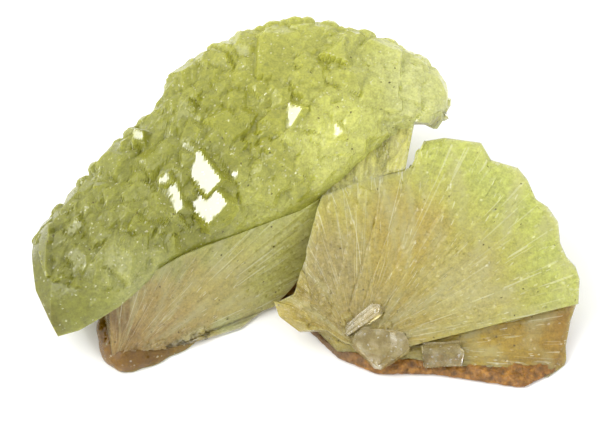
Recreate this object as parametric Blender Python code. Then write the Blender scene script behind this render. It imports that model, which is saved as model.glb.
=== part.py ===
# Adamite specimen: a ridge and a fan of yellow-green crystals grown on an iron-stained crust.
# Metres, +Z up. It rests on Z = 0 with its broken faces towards -Y and +X to the right.
import bisect
import math
import random

import bmesh
import bpy
from mathutils import Vector

MM = 0.001
RIDGE_SEED = 12
FAN_SEED = 12
GAP = 0.32 * MM
GROUND_GAP = 0.5 * MM

# The ridge, as cross-sections along X, in mm: x, then the front edge of the druse (y, z),
# the crest (y, z), the back at the floor (y), the front at the floor (y) and the floor (z).
RIDGE_SECTIONS = (
    (-27.4, -12.6, 4.8, -8.4, 7.6, -4.4, -11.4, 4.2),
    (-25.4, -15.4, 4.2, -6.6, 9.6, -1.4, -13.6, 3.6),
    (-22.6, -15.2, 5.2, -2.6, 11.6, 2.6, -13.4, 3.2),
    (-18.4, -13.6, 7.2, 1.2, 14.0, 6.8, -15.8, 0.8),
    (-15.6, -11.2, 8.1, 3.4, 15.2, 9.3, -14.6, 0.8),
    (-13.4, -9.4, 8.5, 7.6, 17.2, 12.8, -13.2, 0.8),
    (-9.6, -7.4, 8.8, 10.0, 18.5, 15.0, -11.0, 0.8),
    (-5.0, -5.4, 9.2, 11.8, 19.4, 16.9, -8.4, 0.8),
    (0.0, -3.4, 10.0, 12.4, 20.0, 17.8, -5.8, 0.8),
    (4.0, -0.6, 10.8, 11.9, 19.7, 17.0, -2.6, 0.8),
    (8.6, 3.7, 12.2, 10.9, 18.8, 15.6, 1.0, 0.8),
    (11.4, 5.0, 12.4, 10.4, 17.7, 14.0, 4.6, 7.0),
    (13.2, 5.5, 12.3, 9.4, 16.6, 12.4, 6.0, 10.8),
    (14.8, 6.6, 12.8, 8.4, 15.2, 10.6, 6.8, 12.0),
)
# Beyond these X the ridge overhangs the crust, and the druse wraps round its underside.
OVERHANGS = (-21.0 * MM, 9.0 * MM)
ARCH_STEPS = 8
CORE_INSET = 1.5 * MM
# The druse: stubby crystals that stand out of the ridge and lean away from its foot.
DRUSE_SPACING = 2.9 * MM
DRUSE_TRIES = 5000
DRUSE_WIDTH = (2.9 * MM, 3.9 * MM)
DRUSE_THICKNESS = (0.7, 0.95)
DRUSE_PROUD = (0.1 * MM, 0.9 * MM)
DRUSE_ROOT = 3.0 * MM
DRUSE_ROOT_SIZE = 0.75
DRUSE_LEAN = 0.45
DRUSE_SCATTER = 0.18
DRUSE_POINT = 0.4
DRUSE_CHISEL = 0.6

# The columns of the ridge spread from its foot, across the broken front, to the edge of the druse.
FOOT_NUCLEUS = Vector((-19.8, -15.7, 0.9)) * MM
COLUMN_ENDS = (
    (-19.2, -13.6, 6.2), (-15.0, -11.0, 7.8), (-9.6, -7.8, 8.6), (-4.0, -5.6, 9.2),
    (0.4, -3.6, 9.8), (2.0, -4.0, 7.0), (0.6, -5.6, 4.4), (-2.4, -7.4, 1.4),
)
COLUMN_COUNT = 17
COLUMN_THICKNESS = 4.2 * MM
COLUMN_START = (0.06, 0.14)
COLUMN_FILL = (0.62, 0.85)
COLUMN_LIFT = 0.35 * MM
COLUMN_ROOT_SIZE = 0.3
# Upright columns stand under the overhang at the right end of the ridge.
UPRIGHT_COLUMNS = 5
UPRIGHT_X = (5.4 * MM, 10.7 * MM)
UPRIGHT_WIDTH = 1.4 * MM
UPRIGHT_THICKNESS = 3.4 * MM
UPRIGHT_ROOT_SIZE = 0.8
UPRIGHT_ROOT = (1.6 * MM, 8.0 * MM)
UPRIGHT_SPREAD = 0.3 * MM
UPRIGHT_TOP_IN = (0.2 * MM, 0.8 * MM)
UPRIGHT_TOP_DROP = 0.6 * MM

# The fan: blades spread from its nucleus in a broken face that slopes up to the back.
FAN_NUCLEUS = Vector((5.2, -15.5, 3.0)) * MM
FAN_SLOPE_X = -0.04
FAN_SLOPE_Y = 0.625
# Rim of the fan as seen on its face: angle from +X in degrees, radius in mm.
FAN_RIM = (
    (-14.0, 17.0), (-8.0, 19.8), (2.0, 21.0), (10.0, 22.0), (13.0, 23.0), (22.0, 23.7),
    (28.0, 23.2), (35.0, 24.2), (47.0, 24.5), (55.0, 23.8), (60.0, 24.3), (66.0, 23.6),
    (72.5, 22.2), (76.0, 19.0), (88.0, 17.2), (104.0, 16.2), (113.0, 13.0), (125.0, 9.4),
    (140.0, 7.8), (154.0, 8.8), (162.0, 7.0),
)
PLATE_FROM = 12.0
PLATE_TO = 160.0
PLATE_BLADES = 19
LEDGE_DROP = 0.9 * MM
LEDGE_FROM = -14.0
LEDGE_TO = 12.0
LEDGE_BLADES = 4
BLADE_THICKNESS = 3.0 * MM
BLADE_REACH = (-0.1 * MM, 0.5 * MM)
BLADE_LIFT = 0.3 * MM
BLADE_OVERLAP = (1.1, 1.3)
BLADE_POINT = 0.3
BLADE_CHISEL = 0.9
# Layers of blades behind the face give the fan its thickness: their places between the face, at 0,
# and level blades, at 1, and how much shorter a blade is for each degree that it dips.
BACK_FROM = 18.0
BACK_TO = 104.0
BACK_LAYERS = (0.4, 0.85)
BACK_FALL = 0.0045
BACK_BLADES = 10
# How far out a blade starts, as a part of its radius, and how wide it would be at the nucleus.
FACE_START = (0.03, 0.08)
BACK_START = (0.45, 0.55)
NUCLEUS_SIZE = 0.2

# The two sprays part along an upright crack, in plan. The blocks that trim them reach out to FAR.
CRACK = (
    (-3.2, -40.0), (-3.2, -7.6), (0.0, -6.3), (1.6, -2.6), (6.0, -1.1), (10.3, -0.1),
    (11.6, 3.6), (14.0, 6.2), (45.0, 22.0),
)
FAR = 45.0 * MM

# The crust, in plan: x, y and height in mm, anticlockwise from the left of the foot.
CRUST_OUTLINE = (
    (-21.8, -12.0, 2.4), (-21.3, -15.1, 2.0), (-18.8, -17.1, 1.3), (-14.6, -15.1, 0.9),
    (-9.5, -12.0, 0.9), (-5.8, -10.4, 0.9), (-3.1, -8.1, 1.1), (-1.4, -10.2, 1.3),
    (0.4, -11.5, 1.4), (3.4, -15.1, 1.3), (7.4, -17.1, 1.2), (13.0, -17.1, 1.2),
    (19.0, -18.2, 0.9), (22.0, -18.8, 0.8), (25.4, -16.8, 0.8), (26.6, -12.8, 1.0),
    (26.0, -8.0, 1.2), (23.0, -2.0, 1.2), (16.0, 3.6, 1.2), (11.0, 9.6, 1.2),
    (7.0, 13.4, 1.3), (0.0, 15.4, 1.4), (-7.0, 12.6, 1.3), (-13.0, 7.8, 1.4),
    (-18.0, 2.2, 1.8), (-20.6, -4.0, 2.2),
)
CRUST_LOWER_INSET = 0.5 * MM
CRUST_EDGE = 0.45
CRUST_TOP_INSET = 1.0 * MM

# Outlines of a crystal's cross-section, for a width and a thickness of 1.
RHOMB = ((0.5, 0.1), (0.1, -0.5), (-0.5, -0.1), (-0.1, 0.5))
SLAB = ((0.5, 0.3), (0.5, -0.4), (-0.5, -0.4), (-0.5, 0.3), (0.0, 0.5))

# Glassy broken crystals set in the foot of the fan, in mm: the root and the tip as places across and
# up its face from the nucleus, the width, the thickness, how high the underside lies above the face,
# the size of the root beside the shoulder, and the length of the point beside the width.
CLEAR_CRYSTALS = {
    "clear_crystal_point": ((3.6, 1.6), (2.0, -2.0), 5.2, 1.8, -0.7, 0.8, 0.35),
    "clear_crystal_block": ((6.9, -0.7), (11.0, -0.4), 2.6, 1.7, -1.3, 1.0, 0.15),
    "clear_crystal_blade": ((-0.2, 2.4), (2.8, 5.0), 1.3, 1.1, -0.5, 0.7, 0.6),
}
# This one reaches down into the crust as well.
DEEP_CRYSTAL = "clear_crystal_block"

GREEN = (0.42, 0.45, 0.10)
OLIVE = (0.52, 0.50, 0.20)
BROWN = (0.27, 0.13, 0.05)
CLEAR = (0.75, 0.76, 0.55)
CRYSTAL_ROUGHNESS = 0.25
CRUST_ROUGHNESS = 0.8
CLEAR_ROUGHNESS = 0.08


def make_material(name, colour, roughness):
    material = bpy.data.materials.new(name)
    material.use_nodes = True
    shader = material.node_tree.nodes["Principled BSDF"]
    shader.inputs["Base Color"].default_value = (*colour, 1.0)
    shader.inputs["Roughness"].default_value = roughness
    shader.inputs["Metallic"].default_value = 0.0
    material.diffuse_color = (*colour, 1.0)
    return material


def new_object(name, mesh, material=None):
    obj = bpy.data.objects.new(name, mesh)
    bpy.context.scene.collection.objects.link(obj)
    if material:
        mesh.materials.append(material)
    return obj


def mesh_from_bmesh(name, bm):
    mesh = bpy.data.meshes.new(name)
    bmesh.ops.recalc_face_normals(bm, faces=bm.faces)
    bm.to_mesh(mesh)
    bm.free()
    return mesh


def hull(bm, points):
    """Adds the convex hull of some points as one closed body."""
    verts = [bm.verts.new(point) for point in points]
    result = bmesh.ops.convex_hull(bm, input=verts)
    spare = {item for item in result["geom_interior"] if isinstance(item, bmesh.types.BMVert)}
    bmesh.ops.delete(bm, geom=list(spare), context="VERTS")


def crystal(bm, root, tip, side, width, thickness, root_size, ring, point=0.5, chisel=0.5):
    """Adds a bladed crystal from root to tip, as wide as width along side, with a chisel end.

    ring is the outline of its cross-section. point is the length of the pointed end as a part of
    the width, chisel the length of its edge as a part of the thickness.
    """
    along = (tip - root).normalized()
    side = (side - along * side.dot(along)).normalized()
    across = along.cross(side)
    shoulder = tip - along * width * point
    points = []
    for centre, size in ((root, root_size), (shoulder, 1.0)):
        points += [centre + side * (u * width * size) + across * (v * thickness * size) for u, v in ring]
    points += [tip + across * (thickness * chisel * half) for half in (-0.5, 0.5)]
    hull(bm, points)


def cutter(name, mesh):
    obj = new_object(name, mesh)
    obj.hide_render = True
    obj.display_type = "WIRE"
    return obj


def add_boolean(obj, operation, other, self_overlap=False):
    modifier = obj.modifiers.new(operation.title() + "_" + other.name, "BOOLEAN")
    modifier.operation = operation
    modifier.object = other
    modifier.solver = "EXACT"
    modifier.use_self = self_overlap


def along_table(table, value):
    """Reads a table of rows, in order of their first number, at a value of that number."""
    keys = [row[0] for row in table]
    index = min(max(bisect.bisect_right(keys, value), 1), len(table) - 1)
    low, high = table[index - 1], table[index]
    share = min(max((value - low[0]) / (high[0] - low[0]), 0.0), 1.0)
    return [a + (b - a) * share for a, b in zip(low, high)]


def along_path(points, share):
    """The point at a share of the length of a path."""
    steps = [(b - a).length for a, b in zip(points, points[1:])]
    left = share * sum(steps)
    for start, end, step in zip(points, points[1:], steps):
        if left <= step:
            return start.lerp(end, left / step)
        left -= step
    return points[-1]


def ridge_skin(x, turn):
    """A point on the druse of the ridge.

    turn runs 0 at the front edge, 1 at the crest, 2 at the back and 3 at the front of the floor.
    """
    _, front_y, front_z, crest_y, crest_z, back_y, base_y, floor = along_table(RIDGE_SECTIONS, x / MM)
    if turn <= 1.0:
        angle = turn * math.pi / 2
        y = front_y + (crest_y - front_y) * (1 - math.cos(angle))
        z = front_z + (crest_z - front_z) * math.sin(angle)
    elif turn <= 2.0:
        angle = (turn - 1.0) * math.pi / 2
        y = crest_y + (back_y - crest_y) * math.sin(angle)
        z = floor + (crest_z - floor) * math.cos(angle)
    else:
        y = back_y + (base_y - back_y) * (turn - 2.0)
        z = floor
    return Vector((x, y * MM, z * MM))


def ridge_normal(x, turn):
    step_x = 0.4 * MM
    step_turn = 0.03
    along = ridge_skin(x + step_x, turn) - ridge_skin(x - step_x, turn)
    around = ridge_skin(x, min(turn + step_turn, 3.0)) - ridge_skin(x, max(turn - step_turn, 0.0))
    return along.cross(around).normalized()


def ridge_core():
    """The solid inside of the ridge, one ring of points for each cross-section."""
    bm = bmesh.new()
    rings = []
    pulls = {RIDGE_SECTIONS[0][0]: CORE_INSET, RIDGE_SECTIONS[-1][0]: -CORE_INSET}
    for x, _, _, _, _, back_y, base_y, floor in RIDGE_SECTIONS:
        points = [ridge_skin(x * MM, 2.0 * step / ARCH_STEPS) for step in range(ARCH_STEPS + 1)]
        points += [Vector((x, back_y, floor)) * MM + Vector((0, -CORE_INSET, 0))]
        points += [Vector((x, base_y, floor)) * MM]
        centre = sum(points, Vector()) / len(points)
        inset = [point - (point - centre).normalized() * CORE_INSET for point in points]
        pull = Vector((pulls.get(x, 0.0), 0, 0))
        rings.append([bm.verts.new(point + pull) for point in inset])
    for first, second in zip(rings, rings[1:]):
        for i in range(len(first)):
            j = (i + 1) % len(first)
            bm.faces.new((first[i], first[j], second[j], second[i]))
    bm.faces.new(rings[0])
    bm.faces.new(rings[-1])
    bmesh.ops.triangulate(bm, faces=bm.faces)
    return mesh_from_bmesh("ridge_core", bm)


def scatter(rng, draw, spacing, tries):
    """Draws places at random and keeps those that stand at least spacing apart."""
    kept = []
    for _ in range(tries):
        place = draw(rng)
        if all((place[0] - other[0]).length > spacing for other in kept):
            kept.append(place)
    return kept


def draw_on_ridge(rng):
    x = rng.uniform(RIDGE_SECTIONS[0][0], RIDGE_SECTIONS[-1][0]) * MM
    overhangs = x < OVERHANGS[0] or x > OVERHANGS[1]
    turn = rng.uniform(0.0, 2.9 if overhangs else 1.95)
    return ridge_skin(x, turn), ridge_normal(x, turn)


def ridge_druse(rng, bm):
    for place, normal in scatter(rng, draw_on_ridge, DRUSE_SPACING, DRUSE_TRIES):
        spread = (place - FOOT_NUCLEUS).normalized()
        wobble = Vector((rng.gauss(0, 1), rng.gauss(0, 1), rng.gauss(0, 1))) * DRUSE_SCATTER
        axis = (normal + spread * DRUSE_LEAN + wobble).normalized()
        side = Vector((rng.gauss(0, 1), rng.gauss(0, 1), rng.gauss(0, 1)))
        width = rng.uniform(*DRUSE_WIDTH)
        root = place - axis * DRUSE_ROOT
        tip = place + axis * rng.uniform(*DRUSE_PROUD)
        thickness = width * rng.uniform(*DRUSE_THICKNESS)
        shape = (DRUSE_ROOT_SIZE, RHOMB, DRUSE_POINT, DRUSE_CHISEL)
        crystal(bm, root, tip, side, width, thickness, *shape)


def ridge_columns(rng, bm):
    """Columns fanned over the broken front of the ridge, and upright ones at its right end."""
    ends = [Vector(point) * MM for point in COLUMN_ENDS]
    for index in range(COLUMN_COUNT):
        end = along_path(ends, index / (COLUMN_COUNT - 1))
        following = along_path(ends, min((index + 1) / (COLUMN_COUNT - 1), 1.0))
        before = along_path(ends, max((index - 1) / (COLUMN_COUNT - 1), 0.0))
        side = following - before
        start = FOOT_NUCLEUS.lerp(end, rng.uniform(*COLUMN_START))
        outward = side.cross(end - start).normalized()
        root = start - outward * COLUMN_THICKNESS / 5
        tip = end + outward * (rng.uniform(-COLUMN_LIFT, COLUMN_LIFT) - COLUMN_THICKNESS / 2)
        width = side.length * rng.uniform(*COLUMN_FILL)
        crystal(bm, root, tip, side, width, COLUMN_THICKNESS, COLUMN_ROOT_SIZE, SLAB)
    for index in range(UPRIGHT_COLUMNS):
        x = UPRIGHT_X[0] + (UPRIGHT_X[1] - UPRIGHT_X[0]) * index / (UPRIGHT_COLUMNS - 1)
        top = ridge_skin(x, 0.0) + Vector((0, rng.uniform(*UPRIGHT_TOP_IN), -UPRIGHT_TOP_DROP))
        root = Vector((x - UPRIGHT_SPREAD, *UPRIGHT_ROOT))
        side = Vector((1, 0, 0))
        crystal(bm, root, top, side, UPRIGHT_WIDTH, UPRIGHT_THICKNESS, UPRIGHT_ROOT_SIZE, SLAB)


def fan_axes():
    """Across and up in the broken face of the fan, and its outward normal."""
    normal = Vector((-FAN_SLOPE_X, -FAN_SLOPE_Y, 1.0)).normalized()
    up = (Vector((0, 1, 0)) - normal * normal.y).normalized()
    return up.cross(normal), up, normal


def fan_direction(angle, dip=0.0):
    across, up, normal = fan_axes()
    turned = across * math.cos(math.radians(angle)) + up * math.sin(math.radians(angle))
    return turned * math.cos(math.radians(dip)) - normal * math.sin(math.radians(dip))


def level_dip(angle):
    """How far a blade at an angle on the face dips below the face when it is level."""
    return math.degrees(math.atan(FAN_SLOPE_Y * math.sin(math.radians(angle))))


def fan_radius(angle):
    return along_table(FAN_RIM, angle)[1] * MM


def fan_blade(rng, bm, angle, pitch, layer, drop):
    """One blade of the fan, at an angle on its face, in a layer behind it and dropped below it."""
    normal = fan_axes()[2]
    dip = level_dip(angle) * layer
    radius = fan_radius(angle) * (1.0 - BACK_FALL * dip) + rng.uniform(*BLADE_REACH)
    along = fan_direction(angle, dip)
    side = normal.cross(along)
    lift = normal * (rng.uniform(-BLADE_LIFT, BLADE_LIFT) - BLADE_THICKNESS / 2 - drop)
    width = radius * math.radians(pitch) * rng.uniform(*BLADE_OVERLAP)
    start = rng.uniform(*(BACK_START if layer else FACE_START))
    root = FAN_NUCLEUS + along * radius * start - normal * (BLADE_THICKNESS / 4 + drop)
    tip = FAN_NUCLEUS + along * radius + lift
    root_size = NUCLEUS_SIZE + (1.0 - NUCLEUS_SIZE) * start
    crystal(bm, root, tip, side, width, BLADE_THICKNESS, root_size, SLAB, BLADE_POINT, BLADE_CHISEL)


def fan_blades(rng, bm):
    layers = [(PLATE_FROM, PLATE_TO, PLATE_BLADES, 0.0, 0.0)]
    layers += [(LEDGE_FROM, LEDGE_TO, LEDGE_BLADES, 0.0, LEDGE_DROP)]
    layers += [(BACK_FROM, BACK_TO, BACK_BLADES, layer, 0.0) for layer in BACK_LAYERS]
    for start, end, count, layer, drop in layers:
        pitch = (end - start) / count
        for index in range(count):
            angle = start + pitch * (index + rng.uniform(0.4, 0.6))
            fan_blade(rng, bm, angle, pitch, layer, drop)


def fan_core():
    """The solid inside of the fan, a wedge under its face."""
    bm = bmesh.new()
    normal = fan_axes()[2]
    points = [FAN_NUCLEUS - normal * CORE_INSET]
    for angle, _ in FAN_RIM:
        drop = LEDGE_DROP if angle < PLATE_FROM else 0.0
        reach = fan_radius(angle) - 2.0 * CORE_INSET
        points.append(FAN_NUCLEUS + fan_direction(angle) * reach - normal * (CORE_INSET * 1.3 + drop))
        if BACK_FROM <= angle <= BACK_TO:
            for dip in (level_dip(angle) * layer for layer in BACK_LAYERS):
                low = reach * (1.0 - BACK_FALL * dip) - CORE_INSET
                points.append(FAN_NUCLEUS + fan_direction(angle, dip) * low)
    hull(bm, points)
    return mesh_from_bmesh("fan_core", bm)


def crack_side(name, side, grow):
    """A block that fills one side of the crack and a clearance: side -1 is the ridge's, +1 the fan's."""
    bm = bmesh.new()
    shift = Vector((-side, side, 0)) * grow / 2
    ring = [Vector((x, y, 0)) * MM + shift for x, y in CRACK]
    if side > 0:
        ring += [Vector((FAR, -FAR, 0))]
    else:
        ring += [Vector((FAR, FAR, 0)), Vector((-FAR, FAR, 0)), Vector((-FAR, -FAR, 0))]
    base = bm.faces.new([bm.verts.new(point - Vector((0, 0, FAR))) for point in ring])
    top = bmesh.ops.extrude_face_region(bm, geom=[base])
    lifted = [item for item in top["geom"] if isinstance(item, bmesh.types.BMVert)]
    bmesh.ops.translate(bm, verts=lifted, vec=Vector((0, 0, 2 * FAR)))
    bmesh.ops.triangulate(bm, faces=bm.faces)
    return cutter(name, mesh_from_bmesh(name, bm))


def crust_mesh(name, grow):
    """The crust, flat below and uneven above, grown on all sides by a clearance."""
    bm = bmesh.new()
    outline = [Vector((x, y, 0)) * MM for x, y, _ in CRUST_OUTLINE]
    heights = [height * MM for _, _, height in CRUST_OUTLINE]
    count = len(outline)

    def ring(inset, level):
        placed = []
        for i, point in enumerate(outline):
            chord = outline[(i + 1) % count] - outline[i - 1]
            inward = Vector((-chord.y, chord.x, 0)).normalized()
            height = level * heights[i] + (grow if level > 0 else -grow)
            placed.append(bm.verts.new(point + inward * (inset - grow) + Vector((0, 0, height))))
        return placed

    rings = [ring(CRUST_LOWER_INSET, 0.0), ring(0.0, CRUST_EDGE), ring(CRUST_TOP_INSET, 1.0)]
    for first, second in zip(rings, rings[1:]):
        for i in range(count):
            j = (i + 1) % count
            bm.faces.new((first[i], first[j], second[j], second[i]))
    bm.faces.new(rings[0])
    bm.faces.new(rings[-1])
    bmesh.ops.triangulate(bm, faces=bm.faces)
    return mesh_from_bmesh(name, bm)


def ground_block(name):
    """Fills the space under the crystals, which stay just off the surface that the crust stands on."""
    bm = bmesh.new()
    bmesh.ops.create_cube(bm, size=2 * FAR)
    bmesh.ops.translate(bm, verts=bm.verts, vec=Vector((0, 0, GROUND_GAP - FAR)))
    return cutter(name, mesh_from_bmesh(name, bm))


def clear_crystal_mesh(name, numbers, grow=0.0):
    """A glassy crystal lying on the face of the fan, or its seat where grown by a clearance."""
    root, tip, width, thickness, height, root_size, point = numbers
    across, up, normal = fan_axes()
    lift = normal * (height + thickness / 2) * MM
    start = FAN_NUCLEUS + (across * root[0] + up * root[1]) * MM + lift
    end = FAN_NUCLEUS + (across * tip[0] + up * tip[1]) * MM + lift
    along = (end - start).normalized() * grow
    bm = bmesh.new()
    side = normal.cross(end - start)
    wide, thick = width * MM + 2 * grow, thickness * MM + 2 * grow
    crystal(bm, start - along, end + along, side, wide, thick, root_size, SLAB, point)
    bmesh.ops.triangulate(bm, faces=bm.faces)
    return mesh_from_bmesh(name, bm)


def clear_scene():
    for obj in list(bpy.data.objects):
        bpy.data.objects.remove(obj, do_unlink=True)


def build():
    clear_scene()
    green = make_material("adamite_green", GREEN, CRYSTAL_ROUGHNESS)
    olive = make_material("adamite_olive", OLIVE, CRYSTAL_ROUGHNESS)
    brown = make_material("limonite_brown", BROWN, CRUST_ROUGHNESS)

    ridge = new_object("ridge_crystals", ridge_core(), green)
    rng = random.Random(RIDGE_SEED)
    bm = bmesh.new()
    ridge_druse(rng, bm)
    ridge_columns(rng, bm)
    add_boolean(ridge, "UNION", cutter("ridge_growth", mesh_from_bmesh("ridge_growth", bm)), True)

    fan = new_object("fan_crystals", fan_core(), olive)
    rng = random.Random(FAN_SEED)
    bm = bmesh.new()
    fan_blades(rng, bm)
    add_boolean(fan, "UNION", cutter("fan_growth", mesh_from_bmesh("fan_growth", bm)), True)

    add_boolean(ridge, "DIFFERENCE", crack_side("fan_side", 1, GAP))
    add_boolean(fan, "DIFFERENCE", crack_side("ridge_side", -1, GAP))
    crust = new_object("limonite_crust", crust_mesh("limonite_crust", 0.0), brown)
    clearance = cutter("crust_clearance", crust_mesh("crust_clearance", GAP))
    ground = ground_block("ground")
    for spray in (ridge, fan):
        add_boolean(spray, "DIFFERENCE", clearance)
        add_boolean(spray, "DIFFERENCE", ground)
    for name, numbers in CLEAR_CRYSTALS.items():
        clear = make_material(name, CLEAR, CLEAR_ROUGHNESS)
        new_object(name, clear_crystal_mesh(name, numbers), clear)
        seat = cutter(name + "_seat", clear_crystal_mesh(name + "_seat", numbers, GAP))
        add_boolean(fan, "DIFFERENCE", seat)
        if name == DEEP_CRYSTAL:
            add_boolean(crust, "DIFFERENCE", seat)


build()
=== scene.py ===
import bisect
import math
import random
from collections import namedtuple

import bmesh
import bpy
import numpy as np
from mathutils import Matrix, Vector, noise


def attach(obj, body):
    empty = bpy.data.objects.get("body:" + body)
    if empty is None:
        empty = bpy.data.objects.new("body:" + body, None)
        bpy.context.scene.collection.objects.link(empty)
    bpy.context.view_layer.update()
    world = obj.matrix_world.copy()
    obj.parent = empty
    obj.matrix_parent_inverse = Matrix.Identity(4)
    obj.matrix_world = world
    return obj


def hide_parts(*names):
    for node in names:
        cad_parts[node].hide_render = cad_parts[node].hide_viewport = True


MM = 0.001
SEED = 7

# The ridge, as cross-sections along X, in mm: x, then the front edge of the druse (y, z),
# the crest (y, z), the back at the floor (y), the front at the floor (y) and the floor (z).
RIDGE_SECTIONS = (
    (-27.4, -12.6, 4.8, -8.4, 8.0, -3.4, -11.4, 4.2),
    (-25.4, -15.4, 4.2, -6.6, 10.1, -1.0, -13.6, 3.6),
    (-22.6, -15.2, 5.2, -2.6, 11.6, 2.6, -13.4, 3.2),
    (-20.4, -14.4, 6.2, -0.6, 12.8, 4.8, -12.4, 3.0),
    (-18.4, -13.6, 7.2, 1.2, 14.0, 6.8, -12.2, 0.8),
    (-15.6, -11.2, 8.1, 3.4, 15.2, 9.3, -14.6, 0.8),
    (-13.4, -9.4, 8.5, 7.6, 17.2, 12.8, -13.2, 0.8),
    (-9.6, -7.4, 8.8, 10.0, 18.5, 15.0, -11.0, 0.8),
    (-5.0, -5.4, 9.2, 11.9, 19.6, 16.9, -8.4, 0.8),
    (0.0, -3.4, 10.0, 12.6, 20.2, 17.8, -5.8, 0.8),
    (4.0, -0.6, 10.8, 12.0, 19.8, 17.0, -2.6, 0.8),
    (8.6, 3.7, 12.2, 10.9, 18.8, 15.6, 1.0, 0.8),
    (11.4, 5.0, 12.4, 10.4, 17.7, 14.0, 4.6, 7.0),
    (13.2, 5.5, 12.3, 9.4, 16.4, 12.0, 6.0, 10.8),
    (14.3, 6.6, 12.8, 8.4, 15.4, 10.8, 6.8, 12.0),
)
# A turn round its skin is 0 at the druse's front edge, 1 at the crest, 2 at the back and 3 at the front of
# the floor.
# Beyond these X the ridge overhangs the crust, and the druse wraps round its underside.
OVERHANGS = (-21.0 * MM, 9.0 * MM)
# The net that the druse is drawn on: its spacing along X in mm, steps over the druse, the floor and the
# front wall, how far the front wall stands back, and how far and in which steps the ends are rounded.
NET_SPACING = 0.2
NET_STEPS = (176, 16, 8)
WALL_INSET = Vector((0, 2.0, 0)) * MM
END_BULGE = 0.3 * MM
END_ANGLES = (25, 45, 65, 80)
# Sizes of druse crystal: how far apart they stand and how high their tips are, in mm, and the tries.
DRUSE_SIZES = (
    (3.2, (0.1, 0.5), 2000),
    (1.9, (-0.05, 0.35), 5000),
    (1.1, (-0.3, 0.0), 9000),
)
# How deep the skin lies between them, and how much of its full height it gains in one turn, from the edge
# of the broken front and from its other edges.
DRUSE_LOWEST = -0.5 * MM
FRONT_GROWTH = 5.0
EDGE_GROWTH = 12.0
# A crystal raises the skin where the two face the same way by at least this cosine. The rise of a steep
# face is worked out as if the cosine between it and the skin were no less than this.
LEAST_FACING = -0.3
LEAST_SLANT = 0.3
# Crystals on the skyline: how far apart they stand and stray, their half widths and their heights, in mm,
# and the turns between which the skyline is looked for, with the steps.
CREST_SPACING = 1.2
CREST_STRAY = 0.2
CREST_GIRTHS = (0.4, 0.75)
CREST_HEIGHTS = (0.0, 0.75)
CREST_TURNS = (0.9, 1.9, 41)
# How far a crystal may stand out: at these X, and so much.
HIGHEST = np.array(((-27.5, -25.0, 12.5, 14.3), (0.3, 0.7, 0.6, 0.2))) * MM
# Edges that turn by more than this, in degrees, look sharp.
SHARP_ANGLE = 14.0
FAN_SHARP_ANGLE = 32.0
# Where druse crystals grow: between these X in mm, and up to this turn, or to this where the ridge
# overhangs. Their axes lean away from the foot and stray by these parts of the way out.
DRUSE_REACH = (-27.3, 14.2)
DRUSE_TURN = 1.97
OVERHANG_TURN = 2.9
DRUSE_LEAN = 0.15
DRUSE_SCATTER = 0.12
# Slopes, in degrees, of the broad and the narrow faces that end a crystal, and the length of the edge
# between them beside half the spacing.
BROAD_SLOPES = (14, 32)
NARROW_SLOPES = (24, 45)
ROOF_LENGTHS = (0.2, 1.4)
# How far a crystal's sides stand from its tip, beside the spacing, and how steep they are. How far it
# changes the skin: beside that girth, or for a crystal with one face, beside the distance to its corners.
GIRTHS = (0.4, 0.65)
SIDE_SLOPE = 72.0
ROOF_REACH = 4
FACET_REACH = 1.3
# The lower left end of the ridge is a smooth slab: left of this X, up to this turn, below this height and
# in front of this Y. Druse crystals hardly stand out of it.
SLAB_END = -17.4 * MM
SLAB_TURN = 0.4
SLAB_TOP = 9.0 * MM
SLAB_BACK = -6.0 * MM
SLAB_HIGHEST = 0.02 * MM
# Its large faces: each is given by its corners on the ridge's skin, as X in mm and the turn, and by how
# far it stands out in mm.
SLAB_FACES = (
    (((-25.5, 0.0), (-17.2, 0.0), (-16.6, 0.22), (-24.9, 0.3)), 0.1),
    (((-26.9, 0.3), (-21.2, 0.26), (-20.6, 0.5), (-26.3, 0.56)), 0.1),
    (((-21.4, 0.2), (-16.0, 0.14), (-15.6, 0.4), (-20.8, 0.5)), 0.3),
)
# Facets that catch the light, where the druse is seen at these places in the photograph: X and height
# in mm, the width and length, the turn of its long side in degrees, and how far it stands out.
GLINTS = (
    (-9.7, 4.5, 3.4, 3.8, 35.0, 0.6), (-12.7, 4.9, 1.5, 2.9, -62.0, 0.35),
    (-9.9, 7.6, 2.3, 4.4, -58.0, 0.45), (-13.9, 6.8, 1.2, 1.4, 20.0, 0.3),
    (-1.1, 13.2, 1.6, 2.5, 70.0, 0.35), (-16.2, 10.9, 1.5, 1.8, 80.0, 1.2),
    (3.2, 12.0, 1.5, 1.9, 115.0, 0.3), (-4.3, 2.4, 0.7, 0.9, 10.0, 0.4),
    (7.6, 11.2, 0.7, 2.2, 45.0, 0.2), (0.3, 2.6, 0.6, 0.7, 20.0, 0.3),
)
# The way they face, and how far off it a facet may be, in degrees. How far their corners lie out along and
# across them, beside half their size.
GLINT_FACING = Vector((-0.35, -0.45, 0.82)).normalized()
GLINT_SPREAD = 1.5
GLINT_LENGTHS = (0.8, 1.2)
GLINT_WIDTHS = (0.4, 1.3)
# A place seen in the photograph is looked for between these turns, in this many halvings.
SEEN_TURNS = (0.0, 1.15)
SEEN_HALVINGS = 20

# Outlines of a crystal's cross-section, for a width and a thickness of 1.
HEXAGON = ((0.5, 0.0), (0.26, 0.42), (-0.26, 0.42), (-0.5, 0.0), (-0.26, -0.42), (0.26, -0.42))
BOX = ((0.5, 0.42), (-0.5, 0.42), (-0.5, -0.42), (0.5, -0.42))

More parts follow.
